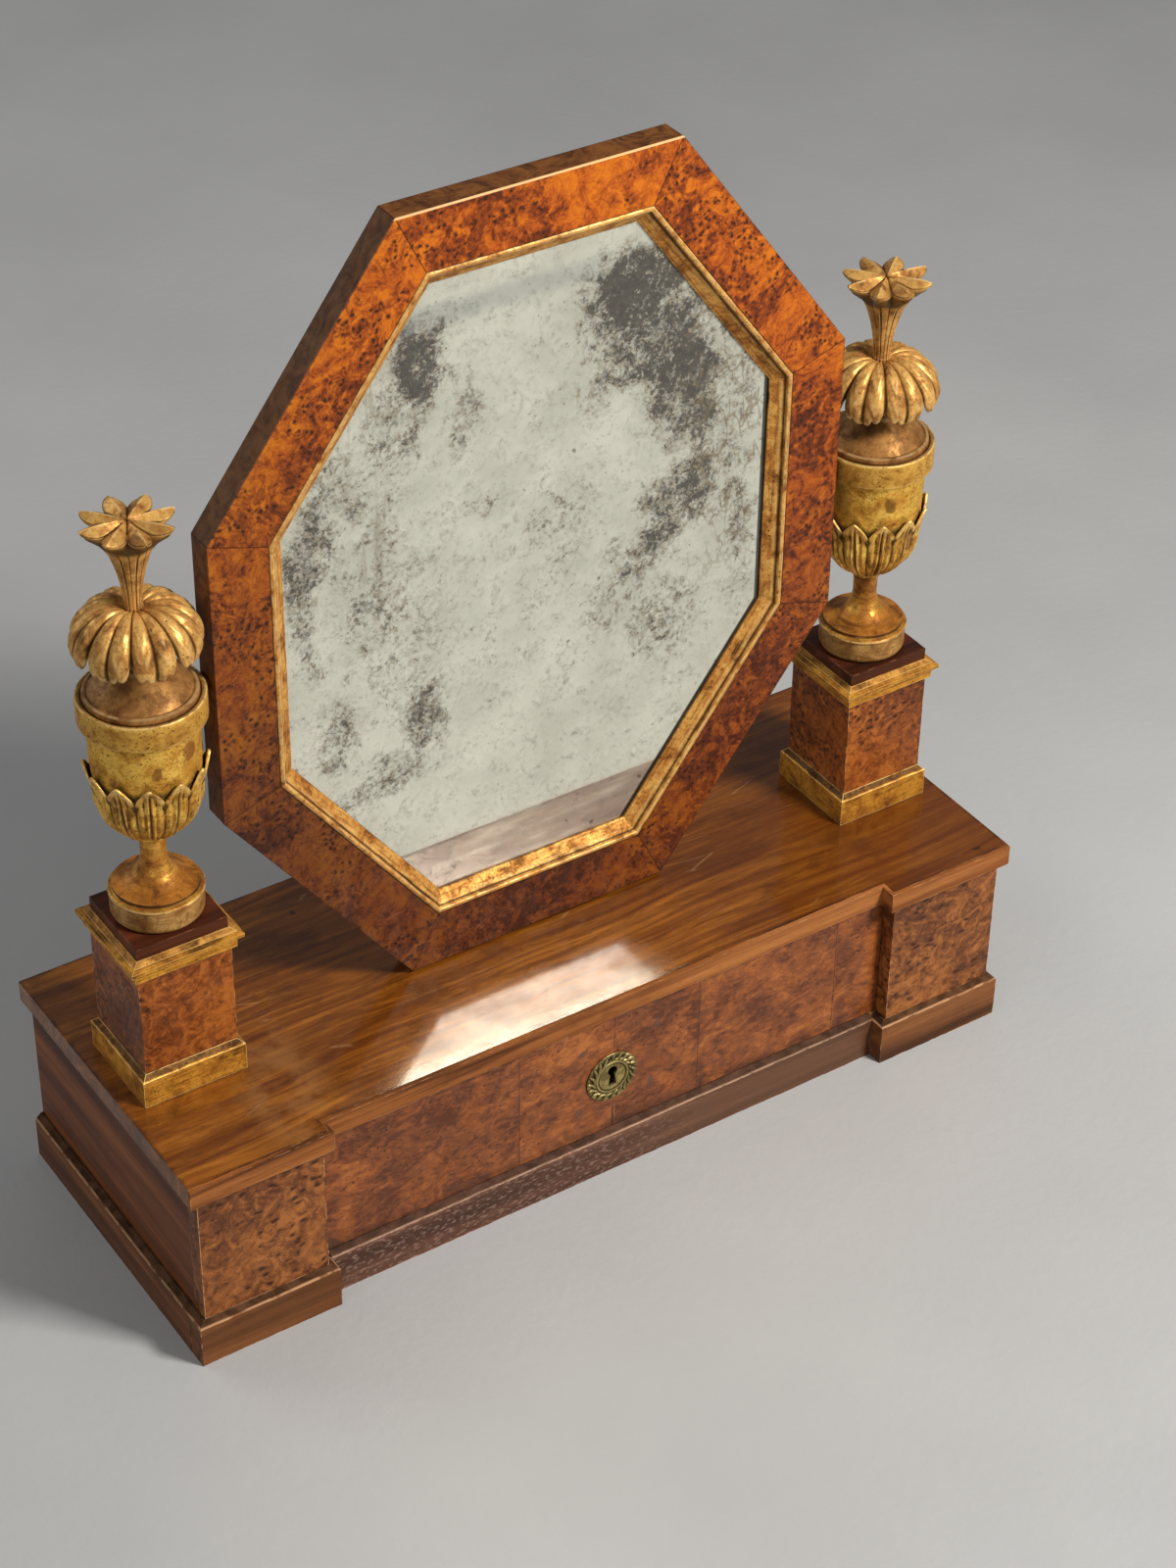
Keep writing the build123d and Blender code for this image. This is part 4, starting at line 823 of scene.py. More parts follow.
def foxed_glass():
    mix = Finish("old_mirror")
    x, _, z = mix.axes()
    wavering_x, _, wavering_z = mix.axes(mix.wobbled(mix.wobbled(mix.place, 16, 0.05), 60, 0.022))
    damp = 0.0
    for from_pivot_x, from_pivot_z, half_w, half_h, strength in DAMP:
        spot = (from_pivot_x, from_pivot_z + PIVOT_Z, half_w, half_h)
        damp = mix.plus(damp, mix.both(mix.oval(wavering_x, wavering_z, spot, 2.2, 0.0), strength))

    flakes = mix.clouds(105, detail=10, roughness=0.76, distortion=0.4)
    grit = mix.clouds(360, mix.wobbled(mix.place, 150, 0.006), detail=6, roughness=0.75)
    texture = mix.plus(mix.both(flakes, 0.56), mix.both(grit, 0.44))
    level = mix.plus(texture, mix.both(mix.maths("MINIMUM", damp, 1.1), 0.20))
    haze = mix.fade(level, 0.495, 0.61)
    gone = mix.fade(level, 0.598, 0.636)
    black = mix.fade(level, 0.65, 0.70)
    lines = mix.borders(110, mix.wobbled(mix.stretched((1, 1, 0.5)), 90, 0.02))
    upper_right = mix.both(mix.fade(x, 0.085, 0.125), mix.fade(z, 0.30, 0.42))
    worms = mix.both(mix.fade(lines, 0.08, 0.03), upper_right, mix.blotches(0.48, 0.56, 40))
    by_left = mix.both(mix.fade(x, -0.13, -0.115), mix.fade(x, -0.085, -0.105), mix.fade(z, 0.40, 0.45))
    runs = mix.blotches(0.56, 0.66, 150, mix.stretched((1, 1, 0.12)))
    tracks = mix.either(worms, mix.both(runs, by_left, 0.6))

    silver = mix.clouds(26, detail=8, roughness=0.65)
    mix.colour = mix.ramp(silver, (0.35, paint(190, 190, 174)), (0.65, paint(212, 212, 196)))
    mix.lay(paint(152, 151, 138), haze, 0.60)
    stain = mix.ramp(mix.clouds(210, detail=6), (0.42, paint(88, 87, 82)), (0.60, paint(140, 128, 104)))
    mix.lay(stain, gone, 0.85)
    left_over = mix.blotches(0.53, 0.60, 150, detail=8, roughness=0.7, distortion=1.5)
    mix.lay(paint(176, 173, 156), gone, left_over, 0.75)
    mix.lay(paint(50, 47, 42), black, 0.85)
    mix.lay(paint(116, 98, 66), tracks, 0.6)
    away, chosen = mix.spots(30, mix.wobbled(mix.place, 60, 0.01), 0.55)
    mix.lay(paint(84, 74, 60), mix.fade(away, 0.07, 0.03), chosen, 0.7)
    away, chosen = mix.spots(430, mix.wobbled(mix.place, 300, 0.003), 0.60)
    mix.lay(paint(70, 68, 62), mix.fade(away, 0.36, 0.2), mix.fade(level, 0.47, 0.56), chosen, 0.6)
    # A soft grey band across the top of the glass: a painted reflection
    reflected_band = mix.fade(mix.maths("ABSOLUTE", mix.minus(z, REFLECTED_BAND_Z * MM)), 11 * MM, 2 * MM)
    mix.lay(paint(120, 126, 128), reflected_band, 0.35, mix.fade(x, 0.06, 0.03))
    # Below the board's reflected edge the silver is tinted and streaked: a painted reflection of the board
    edge_z = PIVOT_Z + REFLECTED_EDGE_Z
    reflected_board_streaks = mix.blotches(0.2, 0.6, 90, mix.stretched((0.2, 1, 1)), detail=5)
    mix.lay(paint(196, 184, 186), mix.fade(z, edge_z * MM, (edge_z - 1) * MM), reflected_board_streaks, kind="MULTIPLY")
    shade_x = SIGHT_HALF_W - SHADE_W
    upright = mix.fade(x, shade_x * MM, (shade_x + 0.6) * MM)
    slanted = mix.minus(mix.both(x, CORNER_Z), mix.both(mix.minus(z, PIVOT_Z * MM), CORNER_X))
    slanted = mix.fade(slanted, SLANT_REACH - 0.6 * SLANT_SHADE, SLANT_REACH)
    mix.lay(paint(26, 28, 22), mix.either(upright, slanted), 0.92)
    mix.raise_by(mix.clouds(7, detail=1), 0.05)
    mix.sink_by(gone, 0.01)
    metal = mix.minus(0.62, mix.both(mix.either(gone, mix.both(haze, 0.4)), 0.5))
    dull = mix.plus(0.06, mix.plus(mix.both(haze, 0.14), mix.both(gone, 0.3)))
    return mix.done(dull, metal=metal, coat=0.3, coat_roughness=0.03, shine=0.5, glint=WHITE)


old_mirror = foxed_glass()
print("foxing patches:", len(DAMP))

# %% [markdown]
# ## From a work mesh to a finished piece
# New pieces are built in a bmesh in millimetres, in the place where they stay. `as_mesh` turns the
# faces outwards and scales to metres.


# %% Keep a piece
def as_mesh(name, work, outwards=True, to_metres=False):
    """Turns a work mesh into a mesh, with its faces looking outwards if asked."""
    if outwards:
        bmesh.ops.recalc_face_normals(work, faces=work.faces)
    if to_metres:
        bmesh.ops.scale(work, vec=(MM, MM, MM), verts=work.verts)
    mesh = bpy.data.meshes.new(name)
    work.to_mesh(mesh)
    work.free()
    return mesh


def mesh_to_keep(name, mesh, body, node, slot, material, sheet=0.0, sharp=32.0):
    mesh.name = name
    mesh.materials.clear()
    mesh.materials.append(material)
    mesh.shade_smooth()
    mesh.set_sharp_from_angle(angle=math.radians(sharp))
    number = mesh.attributes.new("sheet", "FLOAT", "POINT")
    number.data.foreach_set("value", [sheet] * len(mesh.vertices))
    piece = bpy.data.objects.new(name, mesh)
    bpy.context.scene.collection.objects.link(piece)
    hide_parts(node)
    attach(piece, body)
    return piece


def keep(name, work, *details, **more):
    return mesh_to_keep(name, as_mesh(name, work, to_metres=True), *details, **more)


# %% [markdown]
# ## Joinery with eased edges
# A board is an outline at one height joined to an outline at another. Sharp computer edges catch no
# light, so every edge is bevelled by a few tenths of a millimetre. Then each flat face gets an inner
# ring, and the mark `arris` is painted 1 along the edges and 0 inside, so that a finish knows where
# the wear goes. Gilt blocks are also sliced finely and nudged, because chalk ground is never flat.


# %% Stacked outlines and eased edges
def weave(work, grid):
    """Faces between the neighbouring lines of a grid of points."""
    for low, high in zip(grid, grid[1:]):
        for index in range(len(low) - 1):
            work.faces.new((low[index], low[index + 1], high[index + 1], high[index]))


def through(*rings):
    """A solid through rings of equal point count, closed at both ends."""
    work = bmesh.new()
    rings = [[work.verts.new(point) for point in ring] for ring in rings]
    work.faces.new(rings[0][::-1])
    work.faces.new(rings[-1])
    weave(work, [ring + ring[:1] for ring in rings])
    return work


def stacked(levels):
    """A solid through outlines of equal corner count, given as (height, [(x, y), ...])."""
    return through(*([(x, y, z) for x, y in outline] for z, outline in levels))


def ease(work, arris=0.5, fade=3.0, edges=None):
    """Bevels the edges and paints the mark that wear follows."""
    layer = work.verts.layers.float.new("arris")
    if edges is None:
        edges = [edge for edge in work.edges if edge.calc_face_angle(0) > math.radians(20)]
    where = {"geom": edges, "affect": "EDGES", "offset": arris, "offset_type": "OFFSET"}
    bmesh.ops.bevel(work, segments=2, profile=0.5, clamp_overlap=True, **where)
    for vert in work.verts:
        vert[layer] = 1.0
    flat = [face for face in work.faces if face.calc_area() > 6 * fade * fade]
    before = set(work.verts)
    bmesh.ops.inset_individual(work, faces=flat, thickness=fade, use_even_offset=True)
    for vert in work.verts:
        if vert not in before:
            vert[layer] = 0.0
    return work


# Cuts lie this far off the round number (mm), so that none runs along an edge
OFF_THE_EDGE = 0.013


def sliced(work, step, axes="XYZ"):
    """Cuts the mesh by planes so that no run is longer than step."""
    for axis in axes:
        index = "XYZ".index(axis)
        values = [vert.co[index] for vert in work.verts]
        low, high = min(values), max(values)
        count = int((high - low) / step)
        for number in range(1, count):
            point = Vector((0, 0, 0))
            point[index] = low + (high - low) * number / count + OFF_THE_EDGE
            normal = Vector((0, 0, 0))
            normal[index] = 1
            geometry = work.verts[:] + work.edges[:] + work.faces[:]
            bmesh.ops.bisect_plane(work, geom=geometry, plane_co=point, plane_no=normal, dist=0.0001)
    return work


def nudged(work, amount, scale, seed):
    """Pushes each point along its normal by smooth noise, inwards only."""
    work.normal_update()
    shift = Vector((seed * 7.1, seed * 3.3, seed * 5.7))
    for vert in work.verts:
        value = field.fractal(vert.co / scale + shift, 0.6, 2.1, 3)
        vert.co -= vert.normal * amount * min(1.0, max(0.0, 0.5 + value))
    return work


def rectangle(low, high):
    return [(low[0], low[1]), (high[0], low[1]), (high[0], high[1]), (low[0], high[1])]


def slab(outline, foot, top):
    return stacked([(foot, outline), (top, outline)])


def box_work(low, high):
    return slab(rectangle(low, high), low[2], high[2])


def result_of(carrier):
    """The mesh of an object after its modifiers; the object itself is removed."""
    bpy.context.view_layer.update()
    graph = bpy.context.evaluated_depsgraph_get()
    result = bpy.data.meshes.new_from_object(carrier.evaluated_get(graph))
    bpy.data.objects.remove(carrier)
    return result


def cut(mesh, cutter_mesh):
    """The mesh less the cutter, as a plain mesh."""
    work = bmesh.new()
    work.from_mesh(mesh)
    bmesh.ops.recalc_face_normals(work, faces=work.faces)
    work.to_mesh(mesh)
    work.free()
    carrier = bpy.data.objects.new("carrier", mesh)
    cutter = bpy.data.objects.new("cutter", cutter_mesh)
    for item in (carrier, cutter):
        bpy.context.scene.collection.objects.link(item)
    modifier = carrier.modifiers.new("cut", "BOOLEAN")
    modifier.object = cutter
    modifier.operation = "DIFFERENCE"
    modifier.solver = "EXACT"
    result = result_of(carrier)
    bpy.data.objects.remove(cutter)
    return result


# %% [markdown]
# ## The board and its edging
# The board is one wide walnut plank whose front steps back between the two wings. Its edging is a
# separate strip 3 mm thick that follows the step, so it is the band between two broken lines. Under
# the board a Boolean cuts the mortise into which the bolt of the drawer's lock rises.

# %% Make the board and the edging
BASE_W = 600.0
BOARD_FOOT = 127.0
BOARD_TOP = 141.4
LIPPING_T = 3.0
WING_EDGE_Y = -111.0
MIDDLE_EDGE_Y = -100.3
BREAK_X = 204.5
BACK_Y = 111.0
HALF_W = BASE_W / 2
MORTISE_LOW = (-11.5, -89.0, BOARD_FOOT - 1.0)
MORTISE_HIGH = (11.5, -84.0, BOARD_FOOT + 6.5)


def front_line(back_by):
    """The stepped front of the board, set back by a distance, from left to right."""
    inner = BREAK_X + back_by
    wing_y = WING_EDGE_Y + back_by
    half = [(inner, MIDDLE_EDGE_Y + back_by), (inner, wing_y), (HALF_W, wing_y)]
    return [(-x, y) for x, y in reversed(half)] + half


board_outline = front_line(LIPPING_T) + [(HALF_W, BACK_Y), (-HALF_W, BACK_Y)]
board = as_mesh("board", ease(slab(board_outline, BOARD_FOOT, BOARD_TOP), 0.5, 5.0))
mortised = bmesh.new()
mortised.from_mesh(cut(board, as_mesh("mortise", box_work(MORTISE_LOW, MORTISE_HIGH))))
keep("walnut_board", mortised, "base", "top_board", "walnut_top", walnut_top)

strip = ease(slab(front_line(0.0) + front_line(LIPPING_T)[::-1], BOARD_FOOT, BOARD_TOP), 0.7, 1.1)
strip = nudged(sliced(strip, 9.0, "X"), 0.25, 14.0, 3)
keep("board_edging", strip, "base", "top_lipping", "edge_wood", wood["edge_wood"])
print("board corners:", len(board_outline))

# %% [markdown]
# ## Case sides, wing fronts and plinth
# These are plain boards, and a loop over left and right makes the pairs. The plinth boards have a long
# bevel on top: their second outline is simply drawn in where the bevel faces outwards.

# %% Make the case boards
CASE_FOOT = 33.1
CASE_HALF_W = 294.2
CASE_FRONT_Y = -106.7
CASE_BACK_Y = 109.0
WALL_T = 12.0
BAY_HALF_W = 210.3
PLINTH_EDGE_Z = 29.5
PLINTH_BEVEL = 4.2
PLINTH_T = 14.0
SIDES = (("left", -1), ("right", 1))


def on_side(sign, inner, outer):
    """Two x values carried to one side of the middle, lowest first."""
    return sorted((sign * inner, sign * outer))


def plinth_board(low, high, left=0.0, right=0.0, front=0.0):
    """A plinth board whose upper part draws in at the sides that are named."""
    drawn_low = (low[0] + left, low[1] + front)
    drawn_high = (high[0] - right, high[1])
    foot = rectangle(low, high)
    levels = [(0.0, foot), (PLINTH_EDGE_Z, foot), (CASE_FOOT, rectangle(drawn_low, drawn_high))]
    return ease(stacked(levels), arris=0.6, fade=2.5)


for side, sign in SIDES:
    x = on_side(sign, CASE_HALF_W - WALL_T, CASE_HALF_W)
    box = box_work((x[0], CASE_FRONT_Y + WALL_T, CASE_FOOT), (x[1], CASE_BACK_Y, BOARD_FOOT))
    details = ("base", f"side_panel_{side}", "side_wood", wood["side_wood"])
    keep(f"case_side_{side}", ease(box, 0.4, 3.0), *details, sheet=sign)

    x = on_side(sign, BAY_HALF_W, CASE_HALF_W)
    box = box_work((x[0], CASE_FRONT_Y, CASE_FOOT), (x[1], CASE_FRONT_Y + WALL_T, BOARD_FOOT))
    details = ("base", f"wing_front_{side}", "wing_burr", wing_burr)
    keep(f"case_wing_{side}", ease(box, 0.6, 3.0), *details, sheet=3 + sign)

    x = on_side(sign, BREAK_X, HALF_W)
    bevels = (PLINTH_BEVEL, PLINTH_BEVEL, PLINTH_BEVEL)
    wing = plinth_board((x[0], WING_EDGE_Y), (x[1], WING_EDGE_Y + PLINTH_T), *bevels)
    wing = nudged(sliced(wing, 8.0, "X"), 0.25, 16.0, 5 + sign)
    details = ("base", f"plinth_wing_{side}", "plinth_light", wood["plinth_light"])
    keep(f"foot_wing_{side}", wing, *details, sheet=sign)

    x = on_side(sign, HALF_W - PLINTH_T, HALF_W)
    bevels = (PLINTH_BEVEL, 0.0) if sign < 0 else (0.0, PLINTH_BEVEL)
    foot_side = plinth_board((x[0], WING_EDGE_Y + PLINTH_T), (x[1], CASE_BACK_Y), *bevels)
    details = ("base", f"plinth_side_{side}", "plinth_light", wood["plinth_light_side"])
    keep(f"foot_side_{side}", foot_side, *details)

middle_low, middle_high = (-BREAK_X, MIDDLE_EDGE_Y), (BREAK_X, MIDDLE_EDGE_Y + PLINTH_T)
middle = plinth_board(middle_low, middle_high, front=PLINTH_BEVEL)
middle = nudged(sliced(middle, 8.0, "X"), 0.3, 18.0, 9)
keep("foot_middle", middle, "base", "plinth_centre", "plinth_dark", plinth_dark)
print("case and plinth boards made")

# %% [markdown]
# ## Pedestals
# Each pedestal is four square layers: a gilt block with a sloping top, a veneered die, a gilt moulding
# and a dark cap. Squares stacked at the right heights give all four, and the gilt ones are sliced every
# few millimetres and nudged, so that their edges waver as hand-laid gesso does.

# %% Make the pedestals
BLOCK_HALF = 34.1
BLOCK_TOP = BOARD_TOP + 18.9
DIE_FOOT = BLOCK_TOP + 3.5
DIE_HALF = 30.4
DIE_TOP = BOARD_TOP + 93.0
CAP_HALF = 29.5
CAP_FOOT = BOARD_TOP + 107.0
CAP_TOP = BOARD_TOP + 114.6
# Moulding under the cap: (height, half width)
CORNICE = (
    (DIE_TOP, 33.0),
    (BOARD_TOP + 99.6, 33.2),
    (BOARD_TOP + 100.5, 32.6),
    (BOARD_TOP + 100.9, 36.4),
    (BOARD_TOP + 103.5, 36.5),
    (BOARD_TOP + 104.7, 33.0),
    (CAP_FOOT, 30.1),
)


def square(middle_x, half):
    return rectangle((middle_x - half, -half), (middle_x + half, half))


for side, sign in SIDES:
    middle_x = sign * PEDESTAL_X
    block_foot = square(middle_x, BLOCK_HALF)
    block_levels = [(BOARD_TOP, block_foot), (BLOCK_TOP, block_foot)]
    block = ease(stacked(block_levels + [(DIE_FOOT, square(middle_x, DIE_HALF))]), 0.6, 1.6)
    block = nudged(sliced(block, 4.0), 0.35, 9.0, 11 + sign)
    keep(f"gilt_block_{side}", block, "base", f"pedestal_base_{side}", "gilt_bright", gilt_block)

    die = ease(slab(square(middle_x, DIE_HALF), DIE_FOOT, DIE_TOP), 0.5, 2.2)
    details = ("base", f"pedestal_die_{side}", "die_burr", die_burr)
    keep(f"burr_die_{side}", die, *details, sheet=5 + 2 * sign)

    moulding = ease(stacked([(z, square(middle_x, half)) for z, half in CORNICE]), 0.3, 0.8)
    moulding = nudged(sliced(moulding, 4.0, "XY"), 0.30, 7.0, 17 + sign)
    details = ("base", f"pedestal_cornice_{side}", "gilt_bright", gilt_block)
    keep(f"gilt_moulding_{side}", moulding, *details)

    cap = ease(slab(square(middle_x, CAP_HALF), CAP_FOOT, CAP_TOP), 0.7, 2.0)
    details = ("base", f"pedestal_cap_{side}", "cap_mahogany", wood["cap_mahogany"])
    keep(f"dark_cap_{side}", cap, *details, sheet=sign)
print("pedestals made")

# %% [markdown]
# ## A ring of like parts
# Turned and carved work repeats round an axis: twelve leaves, eight palm fronds, or the endless thin
# slices of a lathe. So one Geometry Nodes tree serves them all. It takes one slice, copies it round Z
# with Instance on Points, makes the copies real, welds the seams, and pushes the surface in and out
# with seeded noise so that no two leaves are quite alike. It ends in Realize Instances and Set
# Material, because instances would be lost on export.


# %% Build the ring tree
class Shaping(Wiring):
    """A Geometry Nodes tree under construction: it takes a slice and ends in handwork."""

    def __init__(self, name, **inputs):
        super().__init__(bpy.data.node_groups.new(name, "GeometryNodeTree"))
        inputs.update(Unevenness="Float", Grain="Float", Seed="Float", Finish="Material")
        self.labels = {}
        for label, kind in {"Slice": "Geometry", **inputs}.items():
            self.labels[label] = self.socket(label, "INPUT", kind).identifier
        self.socket("Piece", "OUTPUT", "Geometry")
        self.given = self.add("NodeGroupInput").outputs

    def socket(self, label, way, kind):
        return self.tree.interface.new_socket(label, in_out=way, socket_type=f"NodeSocket{kind}")

    def age(self, geometry):
        """Pushes the surface along its normals by noise, sets the finish and ends the tree."""
        step = self.scaled((0.31, 0.17, 0.23), self.given["Seed"])
        place = self.vector_maths("ADD", self.out("GeometryNodeInputPosition"), step)
        sockets = {"Vector": place, "Scale": self.given["Grain"], "Detail": 3.0}
        centred = self.minus(self.out("ShaderNodeTexNoise", sockets), 0.75)
        push = self.maths("MULTIPLY", centred, self.given["Unevenness"])
        push = self.scaled(self.out("GeometryNodeInputNormal"), push)
        aged = self.out("GeometryNodeSetPosition", {"Geometry": geometry, "Offset": push})
        whole = self.out("GeometryNodeRealizeInstances", {"Geometry": aged})
        sockets = {"Geometry": whole, "Material": self.given["Finish"]}
        self.add("NodeGroupOutput", {0: self.out("GeometryNodeSetMaterial", sockets)})

    def run(self, mesh, **values):
        """Runs the tree on a mesh and returns the result as a plain mesh."""
        carrier = bpy.data.objects.new("carrier", mesh)
        bpy.context.scene.collection.objects.link(carrier)
        modifier = carrier.modifiers.new("tree", "NODES")
        modifier.node_group = self.tree
        for label, value in values.items():
            modifier[self.labels[label]] = value
        return result_of(carrier)


ring_tree = Shaping("ring_of_slices", Count="Int", Turn="Float", Centre="Vector")
given = ring_tree.given
spots = ring_tree.out("GeometryNodePoints", {"Count": given["Count"]})
angle_step = ring_tree.maths("DIVIDE", 2 * math.pi, given["Count"])
angle = ring_tree.maths("MULTIPLY", ring_tree.out("GeometryNodeInputIndex"), angle_step)
euler = ring_tree.out("ShaderNodeCombineXYZ", {"Z": ring_tree.plus(angle, given["Turn"])})
turned_by = ring_tree.out("FunctionNodeEulerToRotation", {0: euler})
copies = ring_tree.out(
    "GeometryNodeInstanceOnPoints", {"Points": spots, "Instance": given["Slice"], "Rotation": turned_by}
)
real = ring_tree.out("GeometryNodeRealizeInstances", {"Geometry": copies})
welded = ring_tree.out("GeometryNodeMergeByDistance", {"Geometry": real, "Distance": 0.02 * MM})
moved = ring_tree.out("GeometryNodeTransform", {"Geometry": welded, "Translation": given["Centre"]})
ring_tree.age(moved)
print("ring tree nodes:", len(ring_tree.tree.nodes))

# %% [markdown]
# ## Slices
# A slice is a grid. Each of its columns runs along the outline of the piece, from the axis out and back
# to the axis, and t counts the columns across, from -1 at one cut to 1 at the other. Carving is a
# function of both: how deep the gouge went there, and how the marks `hollow` and `crest` read. Points
# that come out at the same place, as at the axis, are welded by the tree.


# %% Build slices and rings
def arc(start, middle, end, steps):
    """Points on the circle through three points, without the first one."""
    ax, ay = start
    bx, by = middle
    cx, cy = end
    d = 2 * (ax * (by - cy) + bx * (cy - ay) + cx * (ay - by))
    a2, b2, c2 = ax * ax + ay * ay, bx * bx + by * by, cx * cx + cy * cy
    ox = (a2 * (by - cy) + b2 * (cy - ay) + c2 * (ay - by)) / d
    oy = (a2 * (cx - bx) + b2 * (ax - cx) + c2 * (bx - ax)) / d
    radius = math.hypot(ax - ox, ay - oy)
    first = math.atan2(ay - oy, ax - ox)
    half_way = (math.atan2(by - oy, bx - ox) - first) % (2 * math.pi)
    sweep = (math.atan2(cy - oy, cx - ox) - first) % (2 * math.pi)
    if half_way > sweep:
        sweep -= 2 * math.pi
    angles = [first + sweep * index / steps for index in range(1, steps + 1)]
    return [(ox + radius * math.cos(a), oy + radius * math.sin(a)) for a in angles]


def marks_on(work, *names):
    """Marks that can be painted on the points of a work mesh."""
    return [work.verts.layers.float.new(name) for name in names]


def even_columns(half):
    """Places across a slice, from one cut to the other."""
    return [index / half for index in range(-half, half + 1)]


def slice_mesh(name, columns, count, place):
    """A grid: place(t) gives one column as a list of (radius, height, hollow, crest)."""
    work = bmesh.new()
    hollow_mark, crest_mark = marks_on(work, "hollow", "crest")
    grid = []
    for t in columns:
        angle = t * math.pi / count
        column = []
        for radius, height, hollow, crest in place(t):
            x, y = radius * math.cos(angle), radius * math.sin(angle)
            vert = work.verts.new((x * MM, y * MM, height * MM))
            vert[hollow_mark] = hollow
            vert[crest_mark] = crest
            column.append(vert)
        grid.append(column)
    weave(work, grid)
    return as_mesh(name, work, outwards=False)


def ring_of(mesh, count, finish, centre=(0.0, 0.0, 0.0), turn=0.0, rough=0.15, grain=90.0, seed=0.0):
    """Copies a slice round an upright axis; centre and rough are in mm, turn in degrees."""
    return ring_tree.run(
        mesh, Count=count, Turn=math.radians(turn), Centre=tuple(value * MM for value in centre),
        Unevenness=rough * MM, Grain=grain, Seed=seed, Finish=finish,
    )


def on_both_urns(name, node, slot, finishes, columns, count, place, seed, sharp=40.0, **more):
    """Keeps a ring of slices on each urn; finishes is one material, or one for each side."""
    for side, sign in SIDES:
        finish = finishes[side] if isinstance(finishes, dict) else finishes
        one = slice_mesh(name, columns, count, place)
        made = ring_of(one, count, finish, (sign * PEDESTAL_X, 0.0, 0.0), seed=seed + sign, **more)
        work = bmesh.new()
        work.from_mesh(made)
        bmesh.ops.dissolve_degenerate(work, dist=0.001 * MM, edges=work.edges)
        details = ("base", f"{node}_{side}", slot, finish)
        mesh_to_keep(f"{name}_{side}", as_mesh(name, work), *details, sharp=sharp)


def spaced(points, longest):
    """Adds points so that no run of an outline is longer than `longest` millimetres."""
    result = [points[0]]
    for start, end in zip(points, points[1:]):
        count = max(1, math.ceil(math.hypot(end[0] - start[0], end[1] - start[1]) / longest))
        for index in range(1, count + 1):
            share = index / count
            result.append(tuple(a + (b - a) * share for a, b in zip(start, end)))
    return result


LATHE_COUNT = 24


def nearest(radius, height, places):
    """How near a point of an outline is to any of the places (radius, height, reach), from 0 to 1."""
    return max([0.0] + [1 - math.hypot(radius - r, height - z) / reach for r, z, reach in places])


def turned(name, node, slot, finish, outline, dirt_and_shade, rubbed, seed, **more):
    """A part of both urns straight off the lathe; dirt_and_shade and rubbed list (radius, height, reach)
    for dark marks (dirt and painted shade) and pale ones (rubbed leaf and painted highlights).
    """
    column = [(r, z, nearest(r, z, dirt_and_shade), nearest(r, z, rubbed)) for r, z in spaced(outline, 3.0)]
    details = (name, node, slot, finish, even_columns(2), LATHE_COUNT, lambda t: column, seed)
    on_both_urns(*details, **more)


# %% [markdown]
# ## The turned parts of the urns
# Foot, bowl and lid come straight off the lathe. Their outlines are lists of radius and height, with
# arcs where the turner swept the gouge. Dirt and painted shade are asked for at the quirks: the groove
# above the drum, the drum's foot on the cap, the foot of the stem and of the bowl, under the rim band
# and the leaf tips, round the lid and under the crown. Pale marks, for rubbed leaf and painted
# highlights, go on the beads and rims.

# %% Turn the foot, the bowl and the lid
FOOT_R = 27.5
BAND_R = 36.7

foot_outline = [(0, CAP_TOP), (24.8, CAP_TOP)] + arc((24.8, CAP_TOP), (26.6, 257.2), (FOOT_R, 259.6), 5)
foot_outline += [(FOOT_R, 271.0)] + arc((FOOT_R, 271.0), (28.2, 272.4), (26.6, 273.8), 6)
foot_outline += arc((26.6, 273.8), (25.1, 275.1), (25.4, 276.6), 6)
foot_outline += arc((25.4, 276.6), (12.8, 283.0), (7.5, 296.0), 18)
foot_outline += [(7.6, 303.0), (8.0, 309.5), (0, 309.5)]
foot_dirt_and_shade = [(25.0, 275.0, 2.0), (FOOT_R, CAP_TOP, 3.0), (8.0, 309.5, 2.0)]
foot_rubs_and_highlights = [(28.2, 272.6, 1.3), (25.6, 277.4, 1.4)]

bowl_outline = [(0, 309.5), (8.6, 309.5), (9.0, 309.6)]
bowl_outline += arc((9.0, 309.6), (10.3, 311.0), (9.0, 312.6), 5)
bowl_outline += arc((9.4, 313.4), (23.6, 325.0), (30.2, 346.0), 14)
bowl_outline += [(31.2, 354.0), (32.3, 390.2), (32.6, 390.9), (33.2, 391.2), (36.1, 391.9), (36.6, 392.5)]
bowl_outline += [(BAND_R, 393.2), (BAND_R, 406.6), (36.4, 407.6), (35.9, 408.0), (34.4, 407.9)]
bowl_outline += [(33.6, 407.5), (33.2, 406.8), (0, 406.8)]
bowl_dirt_and_shade = [(32.9, 391.0, 1.3), (33.3, 407.0, 1.0), (9.2, 313.0, 2.0), (31.5, 356.0, 7.0)]
bowl_rubs_and_highlights = [(36.2, 407.9, 1.6), (36.5, 392.7, 1.0)]

lid_outline = [(0, 406.8), (32.7, 406.8), (32.8, 407.0), (32.8, 409.2), (32.4, 410.5), (31.3, 411.0)]
lid_outline += [(30.2, 411.1), (29.6, 410.9), (29.2, 411.3)]
lid_outline += arc((29.2, 411.9), (20.0, 420.7), (10.0, 428.0), 16)
lid_outline += [(9.2, 431.0), (9.0, 434.0), (9.0, 455.0), (0, 455.0)]
lid_dirt_and_shade = [(33.0, 407.0, 0.9), (9.5, 434.0, 7.0)]
lid_rubs_and_highlights = [(31.8, 410.9, 1.6), (29.0, 412.2, 0.9), (12.0, 426.4, 2.5)]

